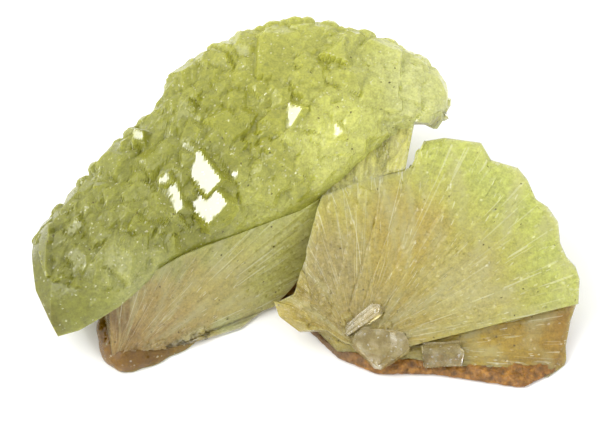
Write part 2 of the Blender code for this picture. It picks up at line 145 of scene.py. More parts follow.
# The columns of the ridge spread from its foot, across the broken front, to the edge of the druse. They
# start at this part of the way.
COLUMN_START = 0.04
FOOT_NUCLEUS = Vector((-19.3, -16.5, 0.9)) * MM
COLUMN_ENDS = (
    (-19.6, -13.3, 6.3), (-16.4, -11.6, 8.2), (-14.7, -10.5, 9.15), (-12.2, -9.0, 9.6), (-7.7, -6.75, 9.6),
    (-4.0, -5.2, 9.9), (-0.4, -3.65, 10.2), (1.6, -2.6, 10.7), (2.2, -3.4, 8.4), (1.4, -5.0, 5.4),
    (-1.4, -7.4, 2.0), (-3.0, -8.3, 0.6), (-4.1, -8.7, 0.4), (-6.4, -11.0, 0.3),
)
# A smooth rounded roll of amber runs round the foot: its middle and radius, in mm. Then its steps along
# and around, how often its path is smoothed, and the size and height of its lumps.
FOOT_ROLL = (
    (-19.4, -10.8, 4.2, 0.3), (-19.9, -12.2, 2.8, 1.1), (-19.4, -14.2, 1.3, 1.5), (-18.2, -15.3, 0.6, 1.6),
    (-16.0, -14.8, 0.3, 1.2), (-13.2, -13.4, 0.2, 0.8), (-10.5, -12.0, 0.2, 0.4),
)
ROLL_STEPS = (90, 48)
ROLL_SMOOTHINGS = 12
ROLL_LUMPS = 0.7
ROLL_ROUGH = 0.25 * MM
# The blades that lie in a sheet: how many, how far they run of its length, their width in mm, how high
# they stand out in mm and how far they roll in degrees.
COLUMN_BLADES = (240, (0.1, 0.6), (0.3, 1.2), (0.0, 0.1), 5.0)
LINK_BLADES = (90, (0.3, 0.9), (0.3, 0.9), (0.0, 0.4), 16.0)
PLATE_BLADES = (400, (0.08, 0.4), (0.4, 1.6), (0.0, 0.08), 4.0)
LEDGE_BLADES = (40, (0.3, 0.8), (0.3, 1.2), (0.0, 0.15), 5.0)
LOBE_BLADES = (60, (0.2, 0.5), (0.4, 1.2), (0.0, 0.5), 12.0)
# A blade starts at least this far from the base, as a share of the sheet's length, and at least this part
# of it lies inside the rim. Its sides slope by so many degrees, and it stands out at most so far.
BLADE_START = 0.02
BLADE_INSIDE = 0.7
BLADE_SIDE_SLOPE = 28.0
BLADE_HIGHEST = 0.18 * MM
SHEET_SPACING = 0.25 * MM
# How far the underside of a sheet draws in from its rim, as a share of its length, and how deep it lies at
# the base, beside its depth at the rim.
UNDERCUT = 0.08
BASE_DEPTH = 0.6
COLUMN_THICKNESS = 4.0 * MM
COLUMNS_OUT = Vector((0.3, -0.85, 0.43))
# Columns link the top of the fan to the druse: where they start, and the druse's edge above, in mm.
LINK_STARTS = ((1.4, -4.0, 9.6), (2.4, -2.9, 10.4), (6.0, -1.4, 11.4), (9.0, -0.7, 11.9), (10.6, -0.3, 12.0))
LINK_ENDS = ((1.8, -1.4, 10.9), (3.6, -0.2, 11.3), (7.0, 2.6, 12.3), (9.4, 4.6, 12.9), (11.8, 5.8, 13.1))
LINKS_OUT = Vector((0.1, -0.4, 0.9))
LINK_DEPTH = 3.0 * MM

# The fan: blades spread from its nucleus in a broken face that slopes up to the back.
FAN_NUCLEUS = Vector((5.2, -15.5, 3.0)) * MM
FAN_SLOPE_X = -0.04
FAN_SLOPE_Y = 0.625
# Places across and up the face from the nucleus, in mm: the rim of the upper plate, from the right,
# and the line that its blades start from.
PLATE_RIM = (
    (22.2, 4.9), (22.3, 7.2), (21.8, 8.7), (21.0, 9.5), (20.3, 11.0), (20.1, 13.1), (19.1, 14.5),
    (17.8, 15.3), (16.9, 17.3), (15.9, 18.5), (13.2, 19.2), (12.2, 20.9), (8.4, 21.3), (6.5, 20.9),
    (5.1, 18.0), (3.0, 17.4), (1.0, 16.9), (-1.4, 16.2), (-3.6, 14.8), (-4.9, 11.2), (-5.0, 7.2),
    (-4.8, 4.6),
)
PLATE_BASE = ((4.2, -0.2), (1.5, -0.3), (-1.0, 0.3), (-3.4, 1.9))
# The lower sector lies below the plate, along a ledge.
LEDGE_RIM = ((20.2, -3.0), (21.1, -0.7), (21.0, 0.7), (21.5, 3.4), (22.2, 5.4))
LEDGE_BASE = ((5.0, -0.9), (6.0, 0.2))
PLATE_DEPTH = 1.4 * MM
LEDGE_DEPTH = 0.8 * MM
LOBE_DEPTH = 1.6 * MM
LEDGE_DROP = 0.9 * MM
LOBE_DROP = 0.2 * MM
# A rough lobe at the left of the fan's foot.
LOBE_RIM = ((-4.6, 9.8), (-5.6, 7.6), (-5.9, 5.9), (-8.0, 4.3), (-7.4, 2.8), (-5.4, 1.4))
LOBE_BASE = ((-2.6, 4.6), (-2.8, 1.6))
# Raised blades on the fan, in mm: base and tip across and up the face, width and height. Then the width of
# their base beside their tip, the slope of their sides and the mean and spread of their roll, in degrees.
RAISED_BLADES = (
    ((-4.3, 3.0), (-3.2, 13.4), 1.2, 0.08), ((-2.0, 2.4), (1.3, 15.9), 2.2, 0.18),
    ((-0.6, 2.0), (3.4, 15.9), 1.5, 0.12), ((0.8, 2.6), (5.0, 15.6), 1.3, 0.12),
    ((0.6, 1.8), (6.4, 10.6), 1.6, 0.12), ((3.4, 3.8), (11.6, 18.0), 1.5, 0.1),
    ((5.2, 8.6), (6.0, 9.8), 0.4, 0.25), ((7.9, 8.4), (11.2, 10.8), 0.6, 0.2),
    ((5.0, 4.0), (16.6, 14.2), 1.8, 0.1), ((5.6, 2.6), (19.8, 9.6), 1.8, 0.1),
    ((8.0, 2.2), (21.4, 6.0), 1.4, 0.12), ((8.9, 15.6), (12.0, 18.4), 1.0, 0.12),
    ((2.0, 6.0), (5.6, 17.6), 0.9, 0.12), ((4.0, 1.6), (12.0, 4.4), 1.2, 0.1),
)
RAISED_BASE = 0.6
RAISED_SIDE_SLOPE = 62.0
RAISED_ROLL = (5.5, 1.5)
# How far the rim is let out, in mm, to make up for its bevels.
RIM_GROWTH = 0.4
# The rim of the fan is bevelled in facets: how far it drops in mm, and how steep a bevel is.
BEVEL_DROPS = (0.25, 0.9)
BEVEL_SLOPES = (22, 40)
# Facets of the plate's rim that meet the ridge have no bevel.
PLATE_PLAIN = 8
NO_BEVEL = 5.0 * MM
# The inside of the fan: how far under the face its top lies, its size beside the rims of the ledge and the
# plate, its foot beside its top along X and Y, and the height of its foot. Its front corners are given as
# places on the face, and as the feet under them.
CORE_DROP = 1.2 * MM
CORE_LEDGE_SIZE = 0.75
CORE_SIZE = 0.93
CORE_FOOT = (0.9, 0.86)
CORE_FLOOR = 1.0 * MM
CORE_CORNERS = ((-2.0, 0.5), (4.5, -1.0))
CORE_CORNER_FEET = ((3.4, -14.6, 1.0), (9.8, -15.8, 1.0))
# Crystals on the outside of the fan stand on a wall from near its rim, this far under the face, to its
# foot. They follow the first points of the plate's rim, from this share of the way along them.
BACK_POINTS = 15
BACK_START = 0.12
BACK_SIZE = 0.99
BACK_DROP = 1.05 * MM
BACK_FOOT = (0.93, 0.9)
BACK_FLOOR = 1.4 * MM
# How far apart they stand and the tries, then their widths, thicknesses beside them and heights in mm, how
# deep they go, how their axes stray, and how they end.
BACK_SPACING = 1.3 * MM
BACK_TRIES = 3000
BACK_WIDTHS = (1.6, 2.6)
BACK_THICKNESSES = (0.7, 1.0)
BACK_HEIGHTS = (-0.6, 0.25)
BACK_LENGTH = 3.5
BACK_SCATTER = 0.12
BACK_ENDS = (0.8, (0.7, 0.3), 0.25)

# Small broken crystals lie at the foot of the ridge, on the fan and on its lobe: the path, as places in mm,
# on the fan across and up its face, how far they stray from it in mm and how many there are.
FOOT_RUBBLE = (((-18.8, -16.0, 1.2), (-15.0, -14.4, 1.6), (-10.4, -12.0, 1.7)), 1.1, 190)
FAN_RUBBLE = (((-3.8, 6.4), (-2.4, 3.4), (0.0, 1.8), (3.6, 2.0)), 1.2, 160)
LOBE_RUBBLE = (((-4.4, 8.6), (-6.4, 5.4), (-5.6, 3.4), (-3.4, 2.4)), 1.3, 150)
# How their axes stray, and their half widths and heights in mm.
RUBBLE_TILT = 0.35
RUBBLE_GIRTHS = (0.12, 0.35)
RUBBLE_LIFTS = (0.0, 0.22)

# The two sprays part along an upright crack, in plan.
CRACK = (
    (-3.2, -40.0), (-3.2, -11.4), (-1.1, -10.6), (-0.3, -8.6), (0.5, -6.3), (1.6, -2.6), (6.0, -1.1),
    (10.3, -0.1), (11.6, 3.6), (14.0, 6.2), (45.0, 22.0),
)
# The gap under the right end of the ridge, as it is seen in the photograph: X and height in mm.
GAP_OUTLINE = ((10.1, 7.0), (10.3, 7.9), (11.3, 12.8), (12.6, 12.7), (13.4, 12.2), (16.0, 12.2), (16.0, 7.0))
# The slab's broken end, as it is seen in the photograph: two blocks cut off the ridge.
SLAB_CUTS = (
    ((-27.9, 1.4), (-26.5, -7.4), (-40.0, -7.4), (-40.0, 1.4)),
    ((-27.2, -3.85), (-22.9, -12.7), (-40.0, -12.7), (-40.0, -3.85)),
)
# The width of the crack, how far the sprays stay off the surface that the crust stands on, and a length
# that is past the whole specimen.
CRACK_GAP = 0.1 * MM
GROUND_GAP = 0.15 * MM
FAR = 45.0 * MM

# The crust, in plan: x, y and height in mm, anticlockwise from the left of the foot.
CRUST_OUTLINE = (
    (-20.8, -11.6, 2.2), (-20.9, -13.4, 1.9), (-20.4, -15.1, 1.2), (-19.4, -16.2, 0.8),
    (-18.4, -16.4, 0.6), (-17.0, -15.9, 0.5), (-14.2, -14.3, 0.4),
    (-9.3, -11.3, 0.4), (-5.8, -9.9, 0.4), (-3.1, -7.9, 0.7), (-1.4, -10.2, 1.3),
    (0.4, -11.5, 1.4), (3.4, -15.1, 1.3), (7.4, -17.1, 1.2), (13.0, -17.1, 1.2),
    (19.0, -18.2, 0.9), (22.0, -18.8, 0.8), (25.4, -16.8, 0.8), (26.6, -12.8, 1.0),
    (26.0, -8.0, 1.2), (23.0, -2.0, 1.2), (16.0, 3.6, 1.2), (11.0, 9.6, 1.2),
    (7.0, 13.4, 1.3), (0.0, 15.4, 1.4), (-7.0, 12.6, 1.3), (-13.0, 7.8, 1.4),
    (-18.0, 2.2, 1.8), (-20.6, -4.0, 2.2),
)
# Rings of the crust from its underside to its top: inset in mm and part of its height.
CRUST_PROFILE = ((0.6, 0.0), (0.1, 0.2), (0.1, 0.6), (0.9, 1.0))
# Its surface: the size of its voxels, how often it is smoothed, the scale and strength of its lumps, how
# high they are, and how much of that is left at the floor.
CRUST_VOXEL = 0.24 * MM
CRUST_SMOOTHINGS = 4
CRUST_LUMPS = ((1.3, 1.0), (3.1, 0.6))
CRUST_ROUGH = 0.14 * MM
CRUST_FLOOR_ROUGH = 0.2

# Glassy broken crystals set in the foot of the fan, in mm: the root and the tip as places across and
# up its face from the nucleus, the width, the thickness, how high the underside lies above the face,
# the size of the root beside the shoulder, the length of the point beside the width, how far the tip
# rises, and whether the crystal is turned so that it mirrors the light.
ClearCrystal = namedtuple("ClearCrystal", "root tip width thickness height root_size point rise mirrors")
CLEAR_CRYSTALS = {
    "clear_crystal_point": ClearCrystal((2.7, 1.6), (2.3, -2.15), 5.8, 1.8, -0.8, 0.8, 0.38, 0.2, False),
    "clear_crystal_block": ClearCrystal((6.9, -0.7), (11.0, -0.4), 2.6, 1.7, -1.3, 1.0, 0.15, 0.0, False),
    "clear_crystal_blade": ClearCrystal((-0.9, 1.4), (2.5, 4.1), 1.3, 1.1, -0.4, 0.8, 0.5, 0.54, True),
}
# How far a root dips into the fan, the clearance round it, and the size of the seat's far end.
ROOT_DIP = 0.5 * MM
SEAT_GAP = 0.05 * MM
SEAT_END = (0.12, 0.9)
# How many striations a clear crystal has, and how deep they are beside its thickness: less on a mirror.
GLASSY_LINES = 9
GLASSY_DEPTH = 0.2
MIRROR_DEPTH = 0.04
# The root is bevelled by this size over this length in mm. Between the root and the shoulder, and the
# shoulder and the tip, lies a ring: how far along, and its size. Then the size of the tip, and how far, in
# mm, the break of its ends slants.
ROOT_BEVEL = (0.9, 0.3)
GLASSY_WAIST = (0.55, 0.95)
GLASSY_NECK = (0.6, 0.5)
GLASSY_TIP = 0.12
GLASSY_SLANT = 0.12

# Colours in sRGB, along a spray from its nucleus to its end.
# The druse darkens towards this point at its lower left end: partly its own olive, partly painted shade, as
# the lower left lies away from the light.
DRUSE_DARK_END = Vector((-28.0, -8.0, 6.0)) * MM
DRUSE_COLOURS = (
    (0.05, (124, 124, 50)), (0.3, (150, 152, 58)), (0.5, (154, 156, 60)), (0.65, (168, 169, 66)),
    (0.8, (184, 185, 84)), (1.0, (194, 196, 104)),
)
COLUMN_COLOURS = (
    (0.0, (158, 124, 60)), (0.25, (174, 150, 88)), (0.5, (184, 170, 98)), (0.8, (188, 184, 96)),
)
FOOT_COLOURS = ((0.0, (142, 102, 6)), (0.35, (124, 88, 4)), (1.0, (138, 110, 22)))
LINK_COLOURS = ((0.0, (204, 194, 108)), (1.0, (216, 212, 124)))
PLATE_COLOURS = (
    (0.0, (163, 144, 80)), (0.3, (178, 161, 80)), (0.6, (193, 184, 90)), (0.85, (192, 196, 102)),
    (1.0, (194, 200, 110)),
)
# The seats under the clear crystals are painted pale: painted light, standing in for light seen through the
# crystals.
SEAT_LIGHT_COLOURS = ((0.0, (232, 220, 176)), (1.0, (226, 222, 160)))
LEDGE_COLOURS = ((0.0, (176, 162, 84)), (0.5, (188, 162, 62)), (0.8, (164, 132, 48)), (1.0, (144, 104, 34)))
# Soft patches of another colour: centre and radius in mm, colour and strength.
DRUSE_PATCHES_AND_SHADE = (
    ((12.0, 8.0, 15.0), 7.0, (218, 220, 148), 0.9),
    ((3.5, 1.5, 14.0), 6.0, (220, 222, 126), 0.9),
    ((-5.0, -4.0, 11.0), 5.0, (196, 198, 100), 0.8),
    ((-17.0, -11.0, 9.0), 4.5, (178, 180, 106), 0.8),
    # This dark olive patch on the slab's left face is painted shade: that face turns away from the light.
    ((-26.0, -13.8, 5.4), 2.6, (116, 112, 36), 0.8),
)
COLUMN_PATCHES_AND_LIGHT = (
    ((-18.8, -13.6, 4.6), 2.4, (136, 108, 58), 0.85),
    # This broad pale patch is painted light: it lifts the steep right part of the columns, which turns away
    # from the light.
    ((-1.0, -6.5, 4.5), 6.0, (196, 194, 112), 0.9),
    ((-14.0, -9.4, 9.2), 2.4, (164, 164, 88), 0.9),
    ((-9.6, -6.7, 9.8), 2.8, (176, 177, 96), 0.9),
    ((-4.5, -4.6, 10.4), 3.0, (186, 187, 102), 0.9),
    ((0.4, -2.8, 10.8), 3.4, (192, 193, 106), 0.9),
    ((-7.6, -11.0, 0.9), 1.8, (200, 200, 136), 0.9),
)
# The darker amber patch on the link columns is painted shade, under the druse that overhangs them.
LINK_SHADE_PATCHES = (((8.6, 0.5, 10.0), 2.4, (180, 156, 78), 0.85),)
PLATE_PATCHES = (
    ((10.0, -5.5, 9.5), 5.0, (188, 168, 82), 0.8),
    ((2.0, -8.5, 7.5), 4.5, (172, 158, 98), 0.8),
    ((16.5, -10.5, 6.0), 4.5, (196, 188, 124), 0.7),
)
CRUST_PATCHES_AND_SHADE = (
    # The dark patch under the fan's foot is partly the crust's own brown, partly painted shade.
    ((2.0, -13.0, 1.0), 4.5, (98, 74, 40), 0.8),
    ((-19.0, -14.0, 1.0), 5.0, (120, 94, 44), 0.8),
)
# A patch is at its full strength within the first part of its radius, and gone past the second.
PATCH_EDGE = (0.4, 1.25)
# The adamites: the nucleus, which for the druse is its darker end, the colours and how far from it they run,
# in mm, the patches, how strong the lines along the rays are, how far the small facets tip, and how much
# light spreads under the surface.
ADAMITES = {
    "druse_adamite": (DRUSE_DARK_END, DRUSE_COLOURS, 44.0, DRUSE_PATCHES_AND_SHADE, 0.2, 0.08, 0.85),
    "glint_adamite": (DRUSE_DARK_END, DRUSE_COLOURS, 44.0, DRUSE_PATCHES_AND_SHADE, 0.2, 0.0, 0.85),
    "column_adamite": (FOOT_NUCLEUS, COLUMN_COLOURS, 24.0, COLUMN_PATCHES_AND_LIGHT, 1.0, 0.25, 0.7),
    "foot_adamite": (FOOT_NUCLEUS, FOOT_COLOURS, 10.0, (), 0.5, 0.3, 0.8),
    # The link's strong lines paint pale vertical stripes: partly its own streaks, partly painted highlights.
    "link_adamite": (FAN_NUCLEUS, LINK_COLOURS, 20.0, LINK_SHADE_PATCHES, 5.0, 0.15, 0.7),
    "plate_adamite": (FAN_NUCLEUS, PLATE_COLOURS, 25.0, PLATE_PATCHES, 1.0, 0.25, 0.7),
    "ledge_adamite": (FAN_NUCLEUS, LEDGE_COLOURS, 25.0, (), 1.0, 0.2, 0.7),
    # The seats are painted pale: painted light seen through the clear crystals.
    "lit_seat_adamite": (FAN_NUCLEUS, SEAT_LIGHT_COLOURS, 25.0, (), 0.2, 0.05, 0.5),
}

# Noises that make a colour lighter and darker: their scale and detail, then how strongly. They are read
# between the values of NOISE_RANGE, and the colour is made lighter by GAIN.
NOISE_RANGE = (0.3, 0.7)
GRAIN_NOISE = (1.8, 5.0)
GRAIN = 0.14
FINE_NOISE = (5.0, 3.0)
FINE_GRAIN = 0.16
STREAK_NOISE = (50.0, 4.0)
STREAKS = 0.06
BAND_NOISE = (16.0, 1.0)
BANDS = 0.06
GAIN = 1.03
# How far the colours waver, in mm, and the scales of the noises that do it, in streaks and in clouds.
WAVER = 3.0
WAVER_SCALES = (9.0, 0.3)
# Pale veils and needles run along the rays where the lines are at least this strong. The veils: cells to a
# radian and to a mm, the scale and detail of their noise, its values where they start and end, and how much
# they show. The needles, long and short, are partly pale needles and partly painted highlights: cells, the
# share of them that are pale, and how much they show.
LINES_WITH_NEEDLE_HIGHLIGHTS = 1.0
VEIL_CELLS = (7.0, 0.3)
VEIL_NOISE = (1.0, 3.0)
VEIL_RANGE = (0.46, 0.66)
VEIL_STRENGTH = 0.5
VEIL_COLOUR = (200, 196, 142)
NEEDLES_AND_HIGHLIGHTS = (((130.0, 0.3), 0.09, 0.4), ((150.0, 2.6), 0.025, 0.5))
# Painted glints, as pale flecks: cells to a mm, the share of the cells that are pale, how much they show,
# and their colour, which the needles share. Then the share and the colour of the painted glints in the clear
# crystals.
GLINT_FLECK_SCALE = 6.0
GLINT_FLECK_SHARE = 0.025
GLINT_FLECK_STRENGTH = 0.5
GLINT_FLECK_COLOUR = (250, 248, 215)
CLEAR_GLINT_SHARE = 0.07
CLEAR_GLINT_COLOUR = (255, 255, 245)
# Dark specks: cells to a mm, their share, and how much they show.
SPECK_SCALE = 5.5
SPECK_SHARE = 0.003
SPECK_STRENGTH = 0.8
SPECK_COLOUR = (84, 66, 36)
# Small facets tip at random: cells to a mm, how much further the few sparkling ones tip, the scale of the
# noise that picks these, and the values between which it does.
FACET_CELLS = 4.0
SPARKLE = 0.7
SPARKLE_SCALE = 37.0
SPARKLE_RANGE = (0.64, 0.66)
# Colours of the crust and of the clear crystals, by the value of a noise of this scale and detail, and
# their bumps: the noise, the strength and the height in metres.
LIMONITE_NOISE = (1.6, 5.0)
LIMONITE_COLOURS = ((0.3, (88, 58, 10)), (0.5, (128, 86, 20)), (0.7, (166, 118, 42)))
LIMONITE_BUMPS = ((4.0, 4.0), 0.6, 0.0003)
CLEAR_NOISE = (0.9, 5.0)
CLEAR_COLOURS = ((0.35, (184, 166, 104)), (0.5, (208, 192, 132)), (0.65, (240, 230, 186)))
CLEAR_BUMPS = ((2.5, 4.0), 0.12, 0.0002)
# Bumps of the streaks, for lines of strength 1: the strength, and the height in metres.
STREAK_BUMP = 0.5
STREAK_HEIGHT = 0.0002
# The colour and the density that tint the light that crosses a spray or a clear crystal.
SPRAY_ABSORPTION = ((0.8, 0.8, 0.35, 1.0), 50.0)
CLEAR_ABSORPTION = ((0.85, 0.76, 0.4, 1.0), 20.0)

# A broad soft light and a small one for the glints stand at the upper left: their width and energy.
KEY_DIRECTION = Vector((-0.64, -0.18, 0.74))
LIGHT_DISTANCE = 0.6
LIGHTS = {"key": (0.5, 1.8), "glint": (0.06, 0.5)}
# How bright the white surround is, and how wide the floor is in metres.
WORLD_STRENGTH = 1.3
FLOOR_SIZE = 3.0

# The camera looks down on the broken faces.
CAMERA_TARGET = Vector((-0.4, -3.4, 8.9)) * MM
CAMERA_ELEVATION = math.radians(50.0)
CAMERA_DISTANCE = 400.0 * MM
CAMERA_LENS = 236.0
# The way from its target to it, and which way is up in its picture.
CAMERA_BACK = Vector((0, -math.cos(CAMERA_ELEVATION), math.sin(CAMERA_ELEVATION)))
PICTURE_UP = Vector((0, math.sin(CAMERA_ELEVATION), math.cos(CAMERA_ELEVATION)))


def closed_body(rings):
    """Points and triangles of a closed body through rings of points, capped at both ends."""
    rings = np.array([[tuple(point) for point in ring] for ring in rings])
    levels, count, _ = rings.shape
    points = rings.reshape(-1, 3)
    faces = []
    for level in range(levels - 1):
        for i in range(count):
            j = (i + 1) % count
            low, high = level * count, (level + 1) * count
            faces += [(low + i, low + j, high + j), (low + i, high + j, high + i)]
    last = (levels - 1) * count
    faces += [(0, i + 1, i) for i in range(1, count - 1)]
    faces += [(last, last + i, last + i + 1) for i in range(1, count - 1)]
    faces = np.array(faces)
    corners = points[faces] - points.mean(axis=0)
    volume = np.einsum("ij,ij->i", corners[:, 0], np.cross(corners[:, 1], corners[:, 2])).sum()
    return points, faces if volume > 0 else faces[:, ::-1]


def mesh_of(name, bodies):
    """One mesh that holds several bodies."""
    points = np.concatenate([body[0] for body in bodies])
    starts = np.cumsum([0] + [len(body[0]) for body in bodies])
    faces = np.concatenate([body[1] + start for body, start in zip(bodies, starts)])
    mesh = bpy.data.meshes.new(name)
    mesh.from_pydata(points.tolist(), [], faces.tolist())
    return mesh


def groups_apart(bodies):
    """Sorts bodies into groups in which none touches another, judged by the spheres round them."""
    groups = []
    for body in bodies:
        centre = body[0].mean(axis=0)
        radius = np.linalg.norm(body[0] - centre, axis=1).max()
        for group, centres, radii in groups:
            if (np.linalg.norm(np.array(centres) - centre, axis=1) > np.array(radii) + radius).all():
                break
        else:
            group, centres, radii = [], [], []
            groups.append((group, centres, radii))
        group.append(body)
        centres.append(centre)
        radii.append(radius)
    return [group for group, _, _ in groups]


def new_object(name, data):
    obj = bpy.data.objects.new(name, data)
    bpy.context.scene.collection.objects.link(obj)
    return obj


def evaluated_mesh(obj):
    """The mesh of an object with its modifiers applied."""
    return bpy.data.meshes.new_from_object(obj.evaluated_get(bpy.context.evaluated_depsgraph_get()))


def joined(name, meshes, cuts=()):
    """One closed mesh from meshes that overlap, less the cuts."""
    obj = new_object(name, meshes[0])
    spare = [obj]
    for operation, tools in (("UNION", meshes[1:]), ("DIFFERENCE", cuts)):
        for mesh in tools:
            tool = new_object(mesh.name, mesh)
            modifier = obj.modifiers.new(operation, "BOOLEAN")
            modifier.operation = operation
            modifier.object = tool
            modifier.solver = "MANIFOLD"
            modifier.material_mode = "TRANSFER"
            spare.append(tool)
    result = evaluated_mesh(obj)
    result.name = name
    for item in spare:
        bpy.data.objects.remove(item)
    return result


def mesh_from(bm, name):
    """A mesh of triangles from a closed bmesh."""
    bmesh.ops.triangulate(bm, faces=bm.faces)
    bmesh.ops.recalc_face_normals(bm, faces=bm.faces)
    mesh = bpy.data.meshes.new(name)
    bm.to_mesh(mesh)
    bm.free()
    return mesh


def largest_body(mesh):
    """Drops the slivers that are no longer joined to a mesh."""
    bm = bmesh.new()
    bm.from_mesh(mesh)
    left = set(bm.verts)
    bodies = []
    while left:
        todo = [left.pop()]
        body = []
        while todo:
            vertex = todo.pop()
            body.append(vertex)
            near = {edge.other_vert(vertex) for edge in vertex.link_edges} & left
            left -= near
            todo += near
        bodies.append(body)
    bodies.sort(key=len)
    bmesh.ops.delete(bm, geom=[vertex for body in bodies[:-1] for vertex in body], context="VERTS")
    bm.to_mesh(mesh)
    bm.free()
    return mesh


def grown_together(name, bodies):
    """One mesh of bodies that overlap."""
    return joined(name, [mesh_of(name + "_part", group) for group in groups_apart(bodies)])


def points_of(places):
    """Points from places in mm."""
    return [Vector(place) * MM for place in places]


def crystal(root, tip, side, width, thickness, outline, root_size, top, cap):
    """A crystal from root to tip, as wide as width along side, with a bevelled end.

    top is the size of its flat end beside the outline, and cap the length of the bevel beside the width.
    """
    along = (tip - root).normalized()
    side = square_to(along, side)
    across = along.cross(side)
    shoulder = tip - along * width * cap
    rings = []
    for centre, (wide, thick) in ((root, (root_size, root_size)), (shoulder, (1, 1)), (tip, top)):
        rings.append([
            centre + side * width * (u * wide) + across * thickness * (v * thick) for u, v in outline
        ])
    return closed_body(rings)


def along_table(table, value):
    """Reads a table of rows, in order of their first number, at a value of that number."""
    keys = [row[0] for row in table]
    index = min(max(bisect.bisect_right(keys, value), 1), len(table) - 1)
    low, high = table[index - 1], table[index]
    share = min(max((value - low[0]) / (high[0] - low[0]), 0.0), 1.0)
    return [a + (b - a) * share for a, b in zip(low, high)]


def step_lengths(points):
    return [(b - a).length for a, b in zip(points, points[1:])]


def along_path(points, share):
    """The point at a share of the length of a path."""
    steps = step_lengths(points)
    left = share * sum(steps)
    for start, end, step in zip(points, points[1:], steps):
        if left <= step:
            return start.lerp(end, left / step)
        left -= step
    return points[-1]


def ridge_skin(x, turn):
    """The point on the druse or the floor at this X and turn."""
    _, front_y, front_z, crest_y, crest_z, back_y, base_y, floor = along_table(RIDGE_SECTIONS, x / MM)
    if turn <= 1.0:
        angle = turn * math.pi / 2
        y = front_y + (crest_y - front_y) * (1 - math.cos(angle))
        z = front_z + (crest_z - front_z) * math.sin(angle)
    elif turn <= 2.0:
        angle = (turn - 1.0) * math.pi / 2
        y = crest_y + (back_y - crest_y) * math.sin(angle)
        z = floor + (crest_z - floor) * math.cos(angle)
    else:
        y = back_y + (base_y - back_y) * (turn - 2.0)
        z = floor
    return Vector((x, y * MM, z * MM))


def ridge_normal(x, turn):
    step_x = 0.4 * MM
    step_turn = 0.03
    along = ridge_skin(x + step_x, turn) - ridge_skin(x - step_x, turn)
    around = ridge_skin(x, min(turn + step_turn, 3.0)) - ridge_skin(x, max(turn - step_turn, 0.0))
    return along.cross(around).normalized()


def ridge_net():
    """A net of points round the ridge, one ring for each X, with a weight that is 1 on the druse."""
    first, last = RIDGE_SECTIONS[0][0], RIDGE_SECTIONS[-1][0]
    over, under, wall = NET_STEPS
    turns = [2.0 * step / over for step in range(over)] + [2.0 + step / under for step in range(under)]
    rings = []
    weights = []
    for x in np.linspace(first, last, round((last - first) / NET_SPACING)) * MM:
        ring = [ridge_skin(x, turn) for turn in turns]
        low = ridge_skin(x, 3.0)
        ring += [low.lerp(ring[0], step / wall) + WALL_INSET for step in range(wall)]
        druse_end = 3.0 if x < OVERHANGS[0] or x > OVERHANGS[1] else 2.0
        growth = EDGE_GROWTH if x < SLAB_END or x > OVERHANGS[1] else FRONT_GROWTH
        weights.append([
            min(1.0, turn * growth, max(0.0, (druse_end - turn) * EDGE_GROWTH)) for turn in turns
        ] + [0.0] * wall)
        rings.append([tuple(point) for point in ring])
    rings = np.array(rings)
    weights = np.array(weights)
    ends = []
    for ring, side in ((rings[0], -1), (rings[-1], 1)):
        centre = ring.mean(axis=0)
        angles = np.radians(END_ANGLES)
        ends.append(np.array([
            centre + (ring - centre) * np.cos(angle) + [side * END_BULGE * np.sin(angle), 0, 0]
            for angle in angles
        ]))
    full = np.ones_like(weights[:len(END_ANGLES)])
    return np.concatenate([ends[0][::-1], rings, ends[1]]), np.concatenate([full, weights, full])


def unit_ways(ways):
    """The ways of a net, each of length 1."""
    return ways / np.maximum(np.linalg.norm(ways, axis=2, keepdims=True), 1e-12)


def net_outward(rings):
    """The way out of a net at each of its points."""
    along = np.gradient(rings, axis=0)
    around = np.roll(rings, -1, axis=1) - np.roll(rings, 1, axis=1)
    return unit_ways(np.cross(along, around))


def scatter(rng, draw, spacing, tries):
    """Draws places at random and keeps those that stand at least spacing apart."""
    kept = []
    places = np.empty((tries, 3))
    for _ in range(tries):
        place = draw(rng)
        if place is None:
            continue
        near = places[:len(kept)] - np.array(place[0])
        if (np.einsum("ij,ij->i", near, near) > spacing * spacing).all():
            places[len(kept)] = place[0]
            kept.append(place)
    return kept


def any_direction(rng):
    return Vector((rng.gauss(0, 1), rng.gauss(0, 1), rng.gauss(0, 1)))


def on_ridge(rng):
    """A place on the ridge's skin, out of the slab at its left end."""
    x = rng.uniform(*DRUSE_REACH) * MM
    overhangs = x < OVERHANGS[0] or x > OVERHANGS[1]
    turn = rng.uniform(0.0, OVERHANG_TURN if overhangs else DRUSE_TURN)
    if x < SLAB_END and turn < SLAB_TURN:
        return None
    return ridge_skin(x, turn), ridge_normal(x, turn)


def faceted(planes, centre, reach):
    """A crystal as the space under several planes, each a point and a facing."""
    facings = np.array([tuple(facing.normalized()) for _, facing in planes])
    offsets = np.array([point.dot(facing.normalized()) for point, facing in planes])
    return np.array(centre), reach, facings, offsets


def tipped(axis, side, degrees):
    """A facing that leans from an axis towards a side."""
    angle = math.radians(degrees)
    return axis * math.cos(angle) + side * math.sin(angle)


def square_to(axis, direction):
    return (direction - axis * direction.dot(axis)).normalized()


def roof(rng, tip, axis, length, girth):
    """A crystal that ends in a low roof at its tip."""
    side = square_to(axis, any_direction(rng))
    end = axis.cross(side)
    half = end * length / 2
    planes = [(tip, tipped(axis, way * side, rng.uniform(*BROAD_SLOPES))) for way in (-1, 1)]
    planes += [(tip + way * half, tipped(axis, way * end, rng.uniform(*NARROW_SLOPES))) for way in (-1, 1)]
    planes += [(tip + way * girth, tipped(axis, way, SIDE_SLOPE)) for way in (side, -side, end, -end)]
    return faceted(planes, tip, ROOF_REACH * girth)


